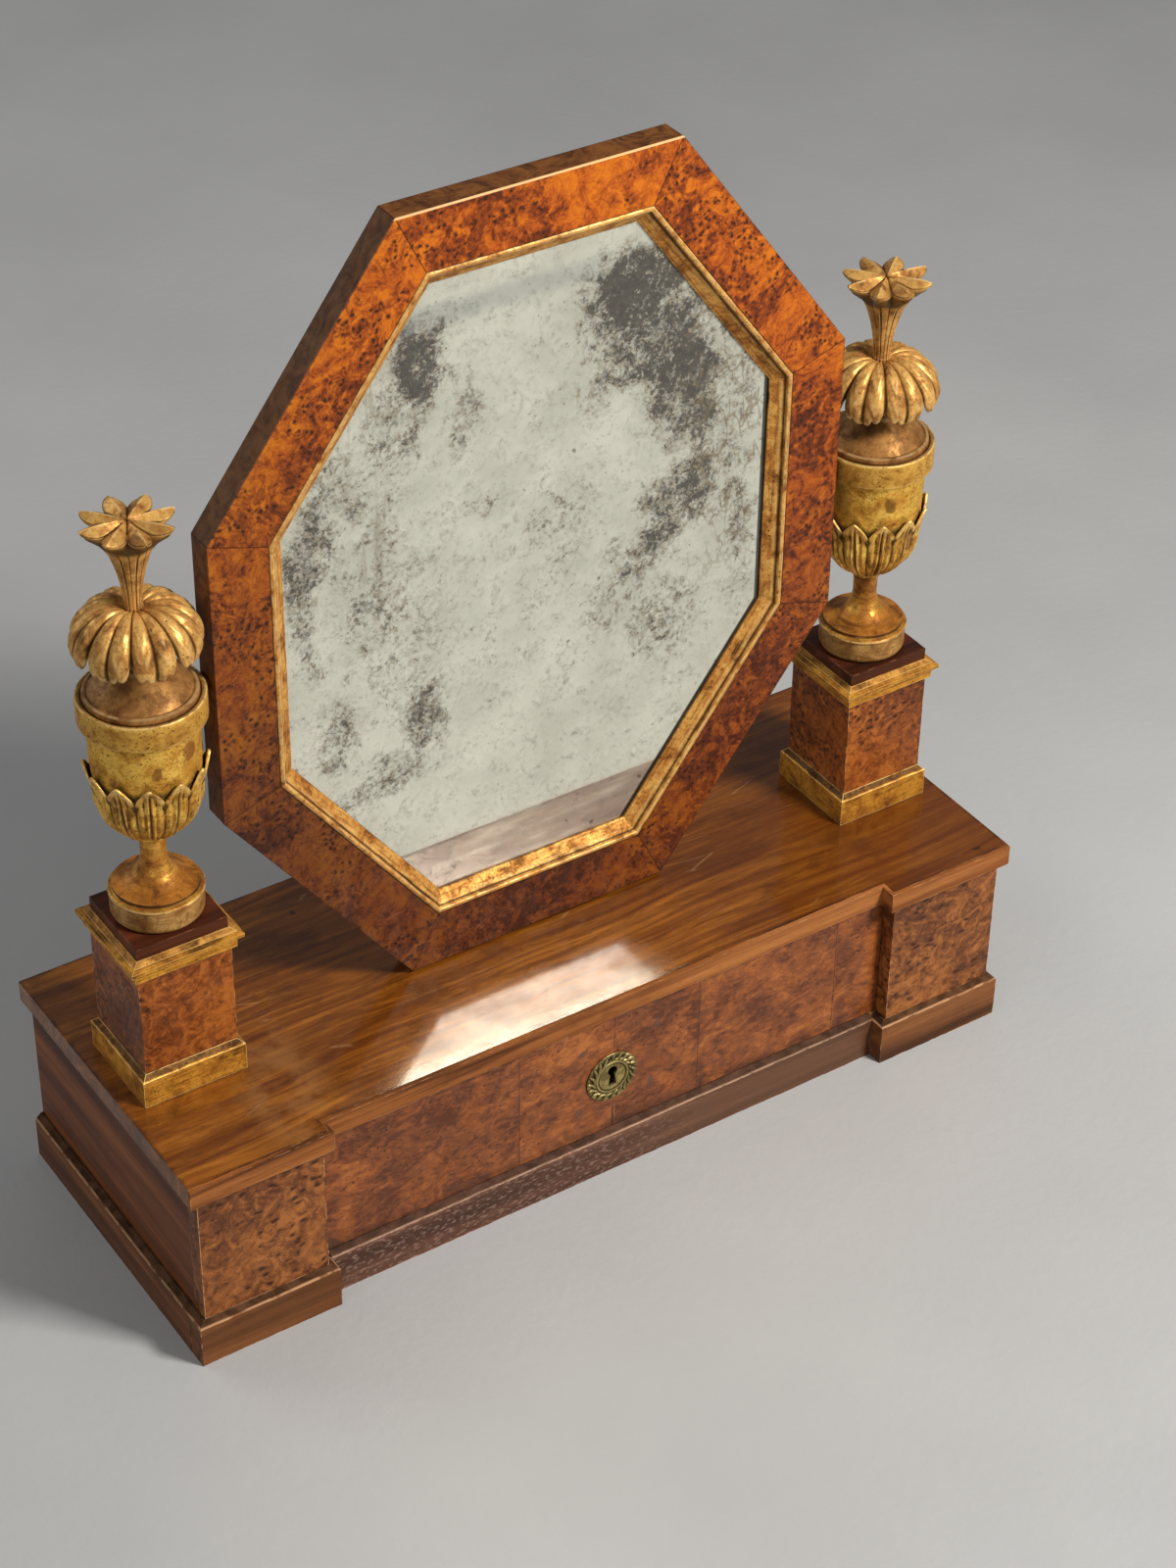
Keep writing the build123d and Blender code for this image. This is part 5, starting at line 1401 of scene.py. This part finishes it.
foot_details = (foot_outline, foot_dirt_and_shade, foot_rubs_and_highlights, 2.0)
turned("gilt_foot", "urn_foot", "gilt_bright", gilt_foot, *foot_details, rough=0.2, grain=120.0)
bowl_details = (bowl_outline, bowl_dirt_and_shade, bowl_rubs_and_highlights, 5.0)
turned("gilt_bowl", "urn_bowl", "gilt_bright", gilt_bright, *bowl_details, rough=0.25, grain=110.0)
lid_details = (lid_outline, lid_dirt_and_shade, lid_rubs_and_highlights, 8.0)
turned("gilt_lid", "urn_lid", "gilt_brown", gilt_brown, *lid_details, rough=0.3, grain=90.0)
print("urns turned")

# %% [markdown]
# ## The cup of leaves
# Twelve pointed leaves hug the bowl and curl away at their tips. One leaf is a slice of 30 degrees. Its
# upper edge is a function of t: a point in the middle, a notch at the cut. Two raised veins run up the
# middle with a gouge line between them, and the flanks have shallow lobes.


# %% Carve the leaf cup
def between(value, table):
    """Straight-line reading from a table of (input, output)."""
    if value <= table[0][0]:
        return table[0][1]
    for (a, fa), (b, fb) in zip(table, table[1:]):
        if value <= b:
            return fa + (fb - fa) * (value - a) / (b - a)
    return table[-1][1]


def bell(value, middle, width):
    return math.exp(-(((value - middle) / width) ** 2))


def even_steps(points, count):
    """An outline read at equal steps along its length."""
    lengths = [0.0]
    for start, end in zip(points, points[1:]):
        lengths.append(lengths[-1] + math.hypot(end[0] - start[0], end[1] - start[1]))
    reads = []
    for index in range(count + 1):
        goal = lengths[-1] * index / count
        reads.append(tuple(between(goal, [(s, p[k]) for s, p in zip(lengths, points)]) for k in (0, 1)))
    return reads


def cut_at_height(points, height, rising):
    """The part of an outline up to the place where it reaches a height."""
    kept = [points[0]]
    for start, end in zip(points, points[1:]):
        passed = end[1] >= height if rising else end[1] <= height
        moving = end[1] > start[1] if rising else end[1] < start[1]
        if passed and moving:
            share = (height - start[1]) / (end[1] - start[1])
            kept.append((start[0] + (end[0] - start[0]) * share, height))
            return kept
        kept.append(end)
    return kept


def sunk(points, depths):
    """An outline moved to its left, square to itself, by a depth for each point."""
    moved = []
    for index, (radius, height) in enumerate(points):
        before = points[max(0, index - 1)]
        after = points[min(len(points) - 1, index + 1)]
        run = (after[0] - before[0], after[1] - before[1])
        length = math.hypot(*run) or 1.0
        moved.append((radius - run[1] / length * depths[index], height + run[0] / length * depths[index]))
    return moved


LEAF_COUNT = 12
LEAF_TURN = 5.4
LEAF_ROWS = 26
INNER_ROWS = 8
leaf_outside = [(10.4, 312.7)] + arc((10.4, 312.7), (25.8, 325.0), (31.9, 343.0), 14)
leaf_outside += arc((31.9, 343.0), (33.5, 354.0), (36.0, 364.0), 10)
leaf_inside = [(34.4, 364.6), (31.5, 352.0), (30.0, 345.0), (27.0, 334.0), (22.0, 324.0), (9.0, 313.6)]
LEAF_EDGE = [(0.0, 364.0), (0.12, 363.6), (0.35, 361.4), (0.52, 359.6), (0.8, 356.2), (1.0, 352.5)]


def leaf_column(t):
    side_of = abs(t)
    top = between(side_of, LEAF_EDGE)
    outside = even_steps(cut_at_height(leaf_outside, top, True), LEAF_ROWS)
    inside = even_steps(leaf_inside[::-1], INNER_ROWS)[::-1]
    depths = []
    marks = []
    for index in range(len(outside)):
        s = index / (len(outside) - 1)
        apart = 0.10 + 0.22 * (1 - s) ** 0.8
        vein = bell(side_of, apart, 0.075) * (1 - 0.3 * s)
        channel = bell(side_of, 0.0, 0.6 * apart)
        lobes = bell(side_of, 0.64, 0.17) * (0.6 + 0.4 * math.sin(s * 15.0 - 1.0))
        rim = bell(s, 1.0, 0.085)
        valley = side_of ** 5
        gouge = bell(side_of, 0.42, 0.09) * s * (1 - rim)
        depth = 1.35 - 1.5 * vein - 1.1 * lobes - 1.5 * rim + 0.35 * channel + 0.6 * gouge + 0.5 * valley
        depths.append(min(1.9, max(0.0, depth)) * min(1.0, 0.25 + 3 * s))
        # Dark down the seams between leaves and in the gouges, for dirt and painted shade; pale on veins,
        # lobes and rim, for rubbed leaf and painted highlights
        seam = bell(side_of, 1.0, 0.10)
        dark = 0.9 * channel * (1 - rim) + 1.1 * seam + 0.75 * gouge
        pale = vein + 0.5 * lobes + 1.3 * bell(s, 1.0, 0.06) * (1 - seam)
        marks.append((min(1.0, dark), min(1.0, pale)))
    outside = sunk(outside, depths)
    tip_radius, tip_height = outside[-1]
    lift = inside[0][1] - 0.6 - top
    inner = [(r, z - lift * max(0.0, 1 - index / 3)) for index, (r, z) in enumerate(inside)]
    first_radius = min(inner[0][0], tip_radius - 1.7) if side_of < 0.5 else tip_radius - 1.4
    inner[0] = (first_radius, tip_height + 0.1)
    points = outside + [(tip_radius - 0.3, tip_height + 0.4), (tip_radius - 0.9, tip_height + 0.55)]
    points += inner + [leaf_outside[0]]
    # The rolled tip takes a pale mark, for rubbed leaf and a painted highlight, and the inside against the
    # bowl a dark one, for dirt and painted shade
    marks += [(0.0, 1.0), (0.0, 1.0)] + [(1.0, 0.0)] * (len(inner) + 1)
    return [(*point, *mark) for point, mark in zip(points, marks)]


on_both_urns(
    "leaf_cup", "urn_leaves", "gilt_bright", gilt_leaves, even_columns(13), LEAF_COUNT, leaf_column, 11.0,
    turn=LEAF_TURN, rough=0.55, grain=120.0,
)
print("leaf cups carved")

# %% [markdown]
# ## The palm crown
# Eight drooping fronds, each made of two fat rolls with a gouge line between them, ending in three
# little lobes. The roll is the upper half of a smooth bump in t; it starts at nothing by the stem and
# gets its full depth half way out. Fine slanting ribs on the rolls are another, smaller wave.

# %% Carve the palm crown
CROWN_LEAVES = 8
CROWN_TURN = -9.0
CROWN_TOP = 464.5
CROWN_ROWS = 30
# Depth of the gouge line in the middle of a frond, and between two fronds
MIDDLE_GOUGE, SEAM_GOUGE = 2.2, 3.1
crown_outside = [(5.4, CROWN_TOP)] + arc((5.4, CROWN_TOP), (16.0, 466.5), (28.4, 460.5), 14)
crown_outside += arc((28.4, 460.5), (35.2, 452.5), (37.5, 442.5), 12) + [(36.4, 435.7)]
crown_inside = [(9.0, 460.0)] + arc((9.0, 460.0), (17.0, 463.0), (26.3, 457.6), 6)
crown_inside += arc((26.3, 457.6), (31.9, 451.2), (34.4, 442.5), 6) + [(33.6, 435.7)]
CROWN_EDGE = [
    (0.0, 436.4), (0.06, 435.7), (0.28, 436.0), (0.36, 437.6), (0.43, 440.0), (0.50, 438.2), (0.64, 437.8),
    (0.76, 439.2), (0.88, 442.6), (1.0, 450.0),
]
crown_half = [0.0, 0.03, 0.07, 0.13, 0.20, 0.27, 0.33, 0.385, 0.43, 0.50, 0.57, 0.64, 0.71, 0.78, 0.84]
crown_half += [0.90, 0.95, 0.98, 1.0]
crown_columns = [-value for value in reversed(crown_half)] + crown_half[1:]


def crown_column(t):
    side_of = abs(t)
    end = between(side_of, CROWN_EDGE)
    outside = even_steps(cut_at_height(crown_outside, end, False), CROWN_ROWS)
    inside = even_steps(cut_at_height(crown_inside, end, False), INNER_ROWS)
    across = 2 * side_of - 1
    roll = max(0.0, 1 - abs(across) ** 2.6)
    deepest = MIDDLE_GOUGE if across < 0 else SEAM_GOUGE
    depths = []
    marks = []
    for index in range(len(outside)):
        s = index / (len(outside) - 1)
        grown = min(1.0, (0.12 + s) / 0.5) ** 0.8
        wave = math.sin(24.0 * s + 9.0 * abs(across))
        thin_end = 0.6 * max(0.0, (s - 0.93) / 0.07)
        depths.append(-((1 - roll) * deepest * grown + 0.2 - 0.2 * wave * roll * grown + thin_end))
        # Dark along the seams between fronds, more towards the tips, for dirt and painted shade; pale on the
        # rolls and tips, for rubbed leaf and painted highlights
        dark = bell(abs(across), 1.0, 0.20) * (0.25 + 0.75 * s ** 0.7)
        pale = roll ** 2 * grown * (0.35 + 0.35 * wave) + bell(s, 0.98, 0.03)
        marks.append((min(1.0, dark), min(1.0, pale)))
    outside = sunk(outside, depths)
    most = outside[-1][0] - 1.5
    inside = inside[:6] + [(min(r, most), z) for r, z in inside[6:]]
    lip = ((outside[-1][0] + inside[-1][0]) / 2, end - 0.5)
    points = [(0.0, CROWN_TOP)] + outside + [lip] + inside[::-1] + [(9.0, 455.0), (0.0, 455.0)]
    # Pale on the lip, for rubbed leaf and a painted highlight; dark under the crown, for dirt and painted
    # shade
    marks = [(0.6, 0.0)] + marks + [(0.0, 0.9)] + [(1.0, 0.0)] * (len(inside) + 2)
    return [(*point, *mark) for point, mark in zip(points, marks)]


on_both_urns(
    "palm_fronds", "palm_crown", "gilt_brown", gilt_carved, crown_columns, CROWN_LEAVES, crown_column, 15.0,
    sharp=60.0, turn=CROWN_TURN, rough=0.5, grain=75.0,
)
print("palm crowns carved")

# %% [markdown]
# ## The star on its stem
# The star has eight rays like little roofs, each with a ridge, and valleys between them that run into
# the middle. Looked at along the axis, one ray fits in 45 degrees, so it is again one slice: out along
# the top, round the edge, back along the underside, and down the fluted stem.

# %% Carve the star and its stem
STAR_RAYS = 8
RAY_ROWS = 16
STAR_TURN = -5.0
# One ray, by distance from the axis: half width, height of its ridge, height of its edge
RAY_HALF_W = [
    (0.0, 0.0), (2.0, 0.8), (10.0, 3.8), (17.0, 6.4), (21.0, 6.0), (24.0, 4.6), (26.2, 2.7), (27.4, 0.8)
]
RAY_RIDGE = [(0.0, 519.4), (2.0, 520.2), (17.0, 521.0), (24.0, 520.5), (27.0, 519.6)]
RAY_EDGE = [(0.0, 518.2), (2.0, 518.8), (10.0, 517.3), (17.0, 516.7), (24.0, 517.4), (27.0, 518.4)]
RAY_REACH = [(0.0, 27.4), (3.0, 27.2), (6.2, 26.4), (10.4, 24.6), (15.7, 21.9), (21.2, 18.2), (22.5, 16.6)]
PIT_R = 1.6
STEM_R = 12.5
STEM_ARC = [(STEM_R, 501.0)] + arc((STEM_R, 501.0), (6.9, 481.5), (5.4, CROWN_TOP), 18)


def star_column(t):
    side_of = abs(t)
    angle = t * math.pi / STAR_RAYS
    reach = between(math.degrees(abs(angle)), RAY_REACH)
    points = []
    for index in range(RAY_ROWS + 1):
        radius = reach * index / RAY_ROWS
        along = radius * math.cos(angle)
        offset = abs(radius * math.sin(angle))
        half = max(0.05, between(along, RAY_HALF_W))
        share = min(1.0, offset / half)
        height = between(along, RAY_RIDGE) * (1 - share) + between(along, RAY_EDGE) * share
        height -= 1.3 * bell(radius, 0.0, PIT_R)
        # Dark towards the valleys and in the middle pit, for dirt and painted shade; pale along the ridges,
        # for rubbed leaf and painted highlights
        dark = max(0.0, share - 0.8) * 4.0 + 1.2 * bell(radius, 0.0, PIT_R)
        points.append((radius, height, min(1.0, dark), max(0.0, 1 - share * 3.5)))
    inwards = side_of ** 0.8
    edge_height = points[-1][1]
    # The rim of a ray is marked pale, and its underside dark, for dirt and painted shade
    points.append((reach - 0.1, edge_height - 0.7, 0.0, 0.8))
    points.append((reach - 0.9, edge_height - 1.8, 0.4, 0.0))
    points.append((23.6 - 7.6 * inwards, 513.0 - 1.0 * inwards, 0.7, 0.0))
    points.append((17.0 - 2.6 * inwards, 507.5 - 1.0 * inwards, 0.8, 0.0))
    # On the stem: dark in the flutes and seams, for dirt and painted shade; pale on the ridges, for wear and
    # painted highlights
    flute = bell(side_of, 0.0, 0.09)
    seam = bell(side_of, 1.0, 0.06)
    for radius, height in STEM_ARC:
        depth = (0.95 * flute + 0.45 * seam) * (0.5 + 0.5 * (radius / STEM_R))
        ridge = bell(side_of, 0.2, 0.07) + 0.8 * bell(height, CROWN_TOP, 2.0)
        points.append((radius - depth, height, min(1.0, 0.9 * flute + 0.8 * seam), min(1.0, ridge)))
    return points + [(0.0, CROWN_TOP, 1.0, 0.0)]


on_both_urns(
    "star_on_stem", "star_finial", "gilt_brown", gilt_carved, even_columns(14), STAR_RAYS, star_column, 19.0,
    sharp=34.0, turn=STAR_TURN, rough=0.4, grain=80.0,
)
print("stars carved")

# %% [markdown]
# ## The mirror frame
# Eight veneered members meet in mitres. Each has an L-shaped section, because the glass sits in a
# rebate behind. The section is written as distance in from the outside and depth, and is carried from
# one corner of the octagon to the next; corners are where two moved-in sides meet, so the mitres come
# out by themselves. A hair of space is left at each mitre, where the old glue line shows.

# %% Make the frame members
FRAME_FRONT_Y = -13.0
FRAME_BACK_Y = 5.0
BAND_W = 37.3
REBATE_W = 29.3
GLASS_Y = -4.0
MITRE_GAP = 0.1
# Nodes clockwise from the top, with a number for each one's sheet of veneer
MEMBERS = (
    ("frame_top", 1),
    ("frame_corner_top_right", 4),
    ("frame_right", 7),
    ("frame_corner_bottom_right", 2),
    ("frame_bottom", 9),
    ("frame_corner_bottom_left", 5),
    ("frame_left", 12),
    ("frame_corner_top_left", 14),
)


def octagon(inset):
    """Corners of the frame's outline moved inwards, clockwise from the top left, about the pivot."""
    half_w = FRAME_HALF_W - inset
    half_h = FRAME_HALF_H - inset
    reach = OUTER_SLANT - inset * SLANT
    top_x = (reach - CORNER_X * half_h) / CORNER_Z
    side_z = (reach - CORNER_Z * half_w) / CORNER_X
    right = [(top_x, half_h), (half_w, side_z), (half_w, -side_z), (top_x, -half_h)]
    return [(-top_x, half_h)] + right + [(-top_x, -half_h), (-half_w, -side_z), (-half_w, side_z)]


SECTION = (
    (0.0, FRAME_FRONT_Y), (BAND_W, FRAME_FRONT_Y), (BAND_W, GLASS_Y),
    (REBATE_W, GLASS_Y), (REBATE_W, FRAME_BACK_Y), (0.0, FRAME_BACK_Y),
)


def member(index):
    """One side of the octagon from corner to corner, less a hair at each end."""
    ends = []
    for corner in (index, (index + 1) % 8):
        corners = [(*octagon(inset)[corner], depth) for inset, depth in SECTION]
        ends.append([Vector((x, depth, PIVOT_Z + z)) for x, z, depth in corners])
    hair = (ends[1][0] - ends[0][0]).normalized() * MITRE_GAP
    return through([point + hair for point in ends[0]], [point - hair for point in ends[1]])


for index, (node, sheet) in enumerate(MEMBERS):
    name = node.replace("frame", "veneered")
    keep(name, ease(member(index), 0.5, 2.6), "mirror", node, "frame_burr", frame_burr, sheet=sheet)
print("members:", len(MEMBERS))

# %% [markdown]
# ## The sight slip
# The gilt moulding round the glass follows a path, so it is a sweep: Curve to Mesh carries a section
# along the octagon. The node does not widen a section at a mitre, so every corner of the path carries
# a number, one over the cosine of half its turn, by which the tree stretches the section sideways
# there. The path lies flat in XY while it is swept, and the result is stood up afterwards.


# %% Sweep the slip
def edge_mesh(name, points, numbers=None):
    """A closed loop of edges through points (mm), with an optional number on each."""
    mesh = bpy.data.meshes.new(name)
    places = [tuple(value * MM for value in point) for point in points]
    mesh.from_pydata(places, [(index, (index + 1) % len(places)) for index in range(len(places))], [])
    if numbers:
        mesh.attributes.new("mitre", "FLOAT", "POINT").data.foreach_set("value", numbers)
        flat = [value for place in places for value in place]
        mesh.attributes.new("path", "FLOAT_VECTOR", "POINT").data.foreach_set("vector", flat)
    return mesh


slip_tree = Shaping("moulding_on_a_path", Section="Object")
given = slip_tree.given
path = slip_tree.out("GeometryNodeMeshToCurve", {0: given["Slice"]})
level = slip_tree.out("GeometryNodeSetCurveNormal", {"Curve": path}, mode="Z_UP")
section = slip_tree.add("GeometryNodeObjectInfo", {"Object": given["Section"]}).outputs["Geometry"]
section = slip_tree.out("GeometryNodeMeshToCurve", {0: section})
swept = slip_tree.out("GeometryNodeCurveToMesh", {"Curve": level, "Profile Curve": section})
on_path = slip_tree.out("GeometryNodeInputNamedAttribute", {"Name": "path"}, data_type="FLOAT_VECTOR")
mitre = slip_tree.out("GeometryNodeInputNamedAttribute", {"Name": "mitre"}, data_type="FLOAT")
away = slip_tree.vector_maths("SUBTRACT", slip_tree.out("GeometryNodeInputPosition"), on_path)
wider = slip_tree.out("ShaderNodeCombineXYZ", {"X": mitre, "Y": mitre, "Z": 1.0})
target = slip_tree.vector_maths("ADD", on_path, slip_tree.vector_maths("MULTIPLY", away, wider))
slip_tree.age(slip_tree.out("GeometryNodeSetPosition", {"Geometry": swept, "Position": target}))

SLIP_START = BAND_W + 0.2
RUN_STEP = 5.0
corners = octagon(SLIP_START)
path_points = []
mitre_numbers = []
for index, corner in enumerate(corners):
    before = Vector(corner) - Vector(corners[index - 1])
    after = Vector(corners[(index + 1) % 8]) - Vector(corner)
    path_points.append((*corner, 0.0))
    mitre_numbers.append(1 / math.cos(before.angle(after) / 2))
    runs = int(after.length / RUN_STEP)
    for step in range(1, runs):
        middle = Vector(corner) + after * step / runs
        path_points.append((*middle, 0.0))
        mitre_numbers.append(1.0)

# Section of the slip: distance in from the veneer, and height above the glass plane
slip_section = [(0.0, 4.0), (0.0, 12.4)] + arc((0.0, 12.4), (1.7, 13.7), (3.4, 11.9), 6)
slip_section += [(3.6, 11.1), (5.4, 9.8), (7.4, 8.3), (9.4, 6.8), (11.3, 5.4), (11.3, 4.0)]
section_mesh = edge_mesh("section", [(inset, height, 0.0) for inset, height in slip_section])
section_object = bpy.data.objects.new("section", section_mesh)
bpy.context.scene.collection.objects.link(section_object)
slip = slip_tree.run(
    edge_mesh("path", path_points, mitre_numbers), Section=section_object, Unevenness=0.35 * MM,
    Grain=150.0, Seed=4.0, Finish=gilt_slip,
)
bpy.data.objects.remove(section_object)
slip_high = [max(abs(vert.co[axis]) for vert in slip.vertices) / MM for axis in (0, 1, 2)]
print("slip reaches (mm):", [round(value, 2) for value in slip_high], "points:", len(slip.vertices))

# %% [markdown]
# The sweep may come out face up or face down, since that depends on the direction in which the curve
# runs. So its height is read without its sign, and it always faces the front once it is stood up at the
# pivot's height. Each point also learns how far round and how far in it lies, for the streaks.


# %% Stand the slip up and paint its marks
def stood_up(flat_slip):
    work = bmesh.new()
    work.from_mesh(flat_slip)
    hollow_mark, crest_mark, run_mark, inset_mark = marks_on(work, "hollow", "crest", "run", "inset")
    outer = [Vector(corner) * MM for corner in octagon(0)]
    for vert in work.verts:
        depth = abs(vert.co.z) / MM
        flat = vert.co.xy
        sides = []
        for index, corner in enumerate(outer):
            along = (outer[(index + 1) % 8] - corner).normalized()
            step = flat - corner
            sides.append((abs(step.cross(along)), index + step.dot(along)))
        vert[inset_mark], vert[run_mark] = min(sides)
        inset = vert[inset_mark] / MM - SLIP_START
        # Marks: dark in the quirk and at the slip's foot on the glass and veneer, for dirt and painted
        # shade; pale on the ridges, for rubbed gilt and painted highlights
        vert[hollow_mark] = max(bell(depth, 11.2, 0.6), bell(depth, 4.4, 0.9), bell(inset, 0.0, 0.35))
        ridges = (bell(depth, 13.3, 0.5), 0.7 * bell(depth, 9.6, 0.9), 0.6 * bell(depth, 5.9, 0.6))
        vert[crest_mark] = max(ridges)
        vert.co = Vector((vert.co.x, -abs(vert.co.z), vert.co.y + PIVOT_Z * MM))
    return as_mesh("gilt_slip", work)


mesh_to_keep("gilt_slip", stood_up(slip), "mirror", "sight_slip", "slip_gilt", gilt_slip, sharp=38.0)

# %% [markdown]
# ## The escutcheon
# A little brass casting: a smooth plate with the keyhole inside a wreath. It is modelled lying down,
# with its face up, so that the ring tree can lay the leaves round Z, and is then stood up against the
# drawer front. The keyhole is cut with a Boolean before that.


# %% Make the escutcheon
ESCUTCHEON_Z = 76.0
PLATE_T = 1.2
WREATH_R = 15.2
WREATH_COUNT = 20
WREATH_ROWS = 7
KEYHOLE_UP = 5.0
KEYHOLE_R = 3.6
KEYHOLE_FROM, KEYHOLE_SWEEP, KEYHOLE_STEPS = -62, 304, 14


def wreath_slice(lean, radius, length, width, lift):
    """One pointed leaf with a ridge, lying in its place in the wreath, closed underneath."""
    work = bmesh.new()
    hollow_mark, crest_mark = marks_on(work, "hollow", "crest")
    turn = Matrix.Rotation(math.radians(lean), 3, "Z")
    rows = []
    for index in range(WREATH_ROWS + 1):
        s = index / WREATH_ROWS
        half = width / 2 * math.sin(math.pi * s ** 0.8) ** 0.8 + 0.05
        row = []
        for t in even_columns(3):
            rise = lift * (math.sin(math.pi * min(1.0, s * 0.9 + 0.08)) ** 0.6) * (1 - abs(t) ** 1.6)
            vert = work.verts.new(turn @ Vector((half * t, (s - 0.5) * length, 0.15 + rise)))
            vert[hollow_mark] = abs(t) ** 2
            vert[crest_mark] = max(0.0, 1 - 1.8 * abs(t))
            row.append(vert)
        rows.append(row)
    weave(work, rows)
    rim = rows[0] + [row[-1] for row in rows[1:]]
    rim += rows[-1][-2::-1] + [row[0] for row in rows[-2:0:-1]]
    work.faces.new(rim)
    bmesh.ops.translate(work, vec=(radius, 0, 0), verts=work.verts)
    return as_mesh("wreath_leaf", work, outwards=False, to_metres=True)


def keyhole_cutter():
    """An upright prism in the shape of the keyhole, round above and wider at its foot."""
    outline = []
    for index in range(KEYHOLE_STEPS + 1):
        angle = math.radians(KEYHOLE_FROM + index * (KEYHOLE_SWEEP / KEYHOLE_STEPS))
        outline.append((KEYHOLE_R * math.cos(angle), KEYHOLE_UP + KEYHOLE_R * math.sin(angle)))
    outline += [(-1.9, 1.2), (-3.0, -6.4), (3.0, -6.4), (1.9, 1.2)]
    return as_mesh("keyhole", slab(outline, -3.0, 4.0), to_metres=True)


plate_outline = [(0, 0), (18.0, 0), (18.5, 0.3), (18.5, 0.9), (18.2, PLATE_T), (16.0, PLATE_T)]
plate_outline += [(12.6, PLATE_T), (12.3, 1.25), (11.9, 1.8), (11.2, 1.9), (10.6, 1.5), (10.2, 1.3)]
plate_outline += [(8.0, 1.45), (4.0, 1.6), (0, 1.62)]
plate_column = []
for radius, height in spaced(plate_outline, 2.0):
    grime = max(bell(radius, 14.5, 2.6), bell(radius, 10.2, 0.5)) if height > 0.8 else 1.0
    plate_column.append((radius, height, grime, bell(radius, 11.5, 0.5)))
plate = slice_mesh("plate", even_columns(2), LATHE_COUNT, lambda t: plate_column)
plate = ring_of(plate, LATHE_COUNT, aged_brass, rough=0.05, grain=300.0, seed=1.0)

# Two rings of leaves: (lean, radius, length, width, lift) of one leaf, and the ring's turn and seed
WREATH = (
    ((62.0, WREATH_R + 0.4, 6.6, 2.7, 1.0), 0.0, 2.0),
    ((28.0, WREATH_R - 1.6, 4.6, 2.2, 1.15), 9.0, 3.0),
)
casting = bmesh.new()
casting.from_mesh(cut(plate, keyhole_cutter()))
for leaf, turn, seed in WREATH:
    details = (WREATH_COUNT, aged_brass, (0.0, 0.0, PLATE_T), turn, 0.08, 400.0, seed)
    casting.from_mesh(ring_of(wreath_slice(*leaf), *details))
bmesh.ops.recalc_face_normals(casting, faces=casting.faces)
upright = Matrix(((1, 0, 0, 0), (0, 0, -1, DRAWER_FACE_Y * MM), (0, 1, 0, ESCUTCHEON_Z * MM), (0, 0, 0, 1)))
bmesh.ops.transform(casting, matrix=upright, verts=casting.verts)
escutcheon = as_mesh("escutcheon", casting, outwards=False)
mesh_to_keep("wreath_plate", escutcheon, "drawer", "escutcheon", "aged_brass", aged_brass, sharp=45.0)
print("escutcheon faces:", len(escutcheon.polygons))

# %% [markdown]
# ## Finishes for the CAD nodes that stay
# Joinery inside the case, the drawer box with its dovetails, the lock and the pins keep their CAD
# meshes. Each gets the finish of its kind, with the grain along the length of the board.

# %% Dress the remaining nodes
KEPT = (
    (wood["pine"], ("partition_left", "partition_right", "back_panel", "bottom_board", "plinth_back")),
    (wood["pine_upright"], ("backboard",)),
    (wood["oak"], ("drawer_side_left", "drawer_side_right")),
    (wood["oak_across"], ("drawer_stops", "drawer_back", "drawer_bottom")),
    (drawer_burr, ("drawer_front",)),
    (aged_brass, ("escutcheon_pins",)),
    (lock_brass, ("pivot_pins", "lock_case")),
    (iron, ("lock_screws", "lock_bolt", "backboard_brads")),
    (old_mirror, ("mirror_glass",)),
)
for material, names in KEPT:
    for name in names:
        for place in nodes[name].material_slots:
            place.material = material
print("nodes with a new finish:", sum(len(names) for _, names in KEPT))

# %% [markdown]
# ## Floor and light
# A plain pale floor and soft light. The key light stands to the front right, where its mirror image in
# the glass falls on the polished board; the world gives an even fill from everywhere.


# %% Build the studio
def pale_floor():
    mix = Finish("floor")
    tones = (0.3, paint(178, 178, 177)), (0.7, paint(188, 188, 186))
    mix.colour = mix.ramp(mix.clouds(3, detail=6), *tones)
    mix.raise_by(mix.clouds(120, detail=3), 0.3)
    return mix.done(0.42, shine=0.5, glint=WHITE)


FLOOR_REACH = 14.0
corners = rectangle((-FLOOR_REACH, -FLOOR_REACH), (FLOOR_REACH, FLOOR_REACH))
floor_mesh = bpy.data.meshes.new("floor")
floor_mesh.from_pydata([(x, y, 0) for x, y in corners], [], [(0, 1, 2, 3)])
floor_mesh.materials.append(pale_floor())
floor = bpy.data.objects.new("floor", floor_mesh)
bpy.context.scene.collection.objects.link(floor)


LIGHT_AIM = Vector((0, 0, 0.3))
# Each light: name, place and size in metres, watts, tint
LIGHTS = (
    ("key", (0.935, -1.67, 1.947), 0.55, 76, (1.0, 0.97, 0.93)),
    ("fill", (-2.4, -1.2, 1.3), 1.8, 8, (1, 1, 1)),
    ("behind", (-1.5, 2.2, 1.5), 1.6, 16, (1, 1, 1)),
)
for name, place, size, watts, tint in LIGHTS:
    data = bpy.data.lights.new(name, "AREA")
    data.size = size
    data.energy = watts
    data.color = tint
    lamp = bpy.data.objects.new(name, data)
    lamp.location = place
    lamp.rotation_mode = "QUATERNION"
    lamp.rotation_quaternion = (LIGHT_AIM - Vector(place)).to_track_quat("-Z", "Y")
    bpy.context.scene.collection.objects.link(lamp)

world = bpy.data.worlds.new("world")
world.use_nodes = True
background = world.node_tree.nodes["Background"].inputs
background["Color"].default_value = paint(196, 198, 202)
background["Strength"].default_value = 0.36
bpy.context.scene.world = world
bpy.context.scene.view_settings.view_transform = "Standard"
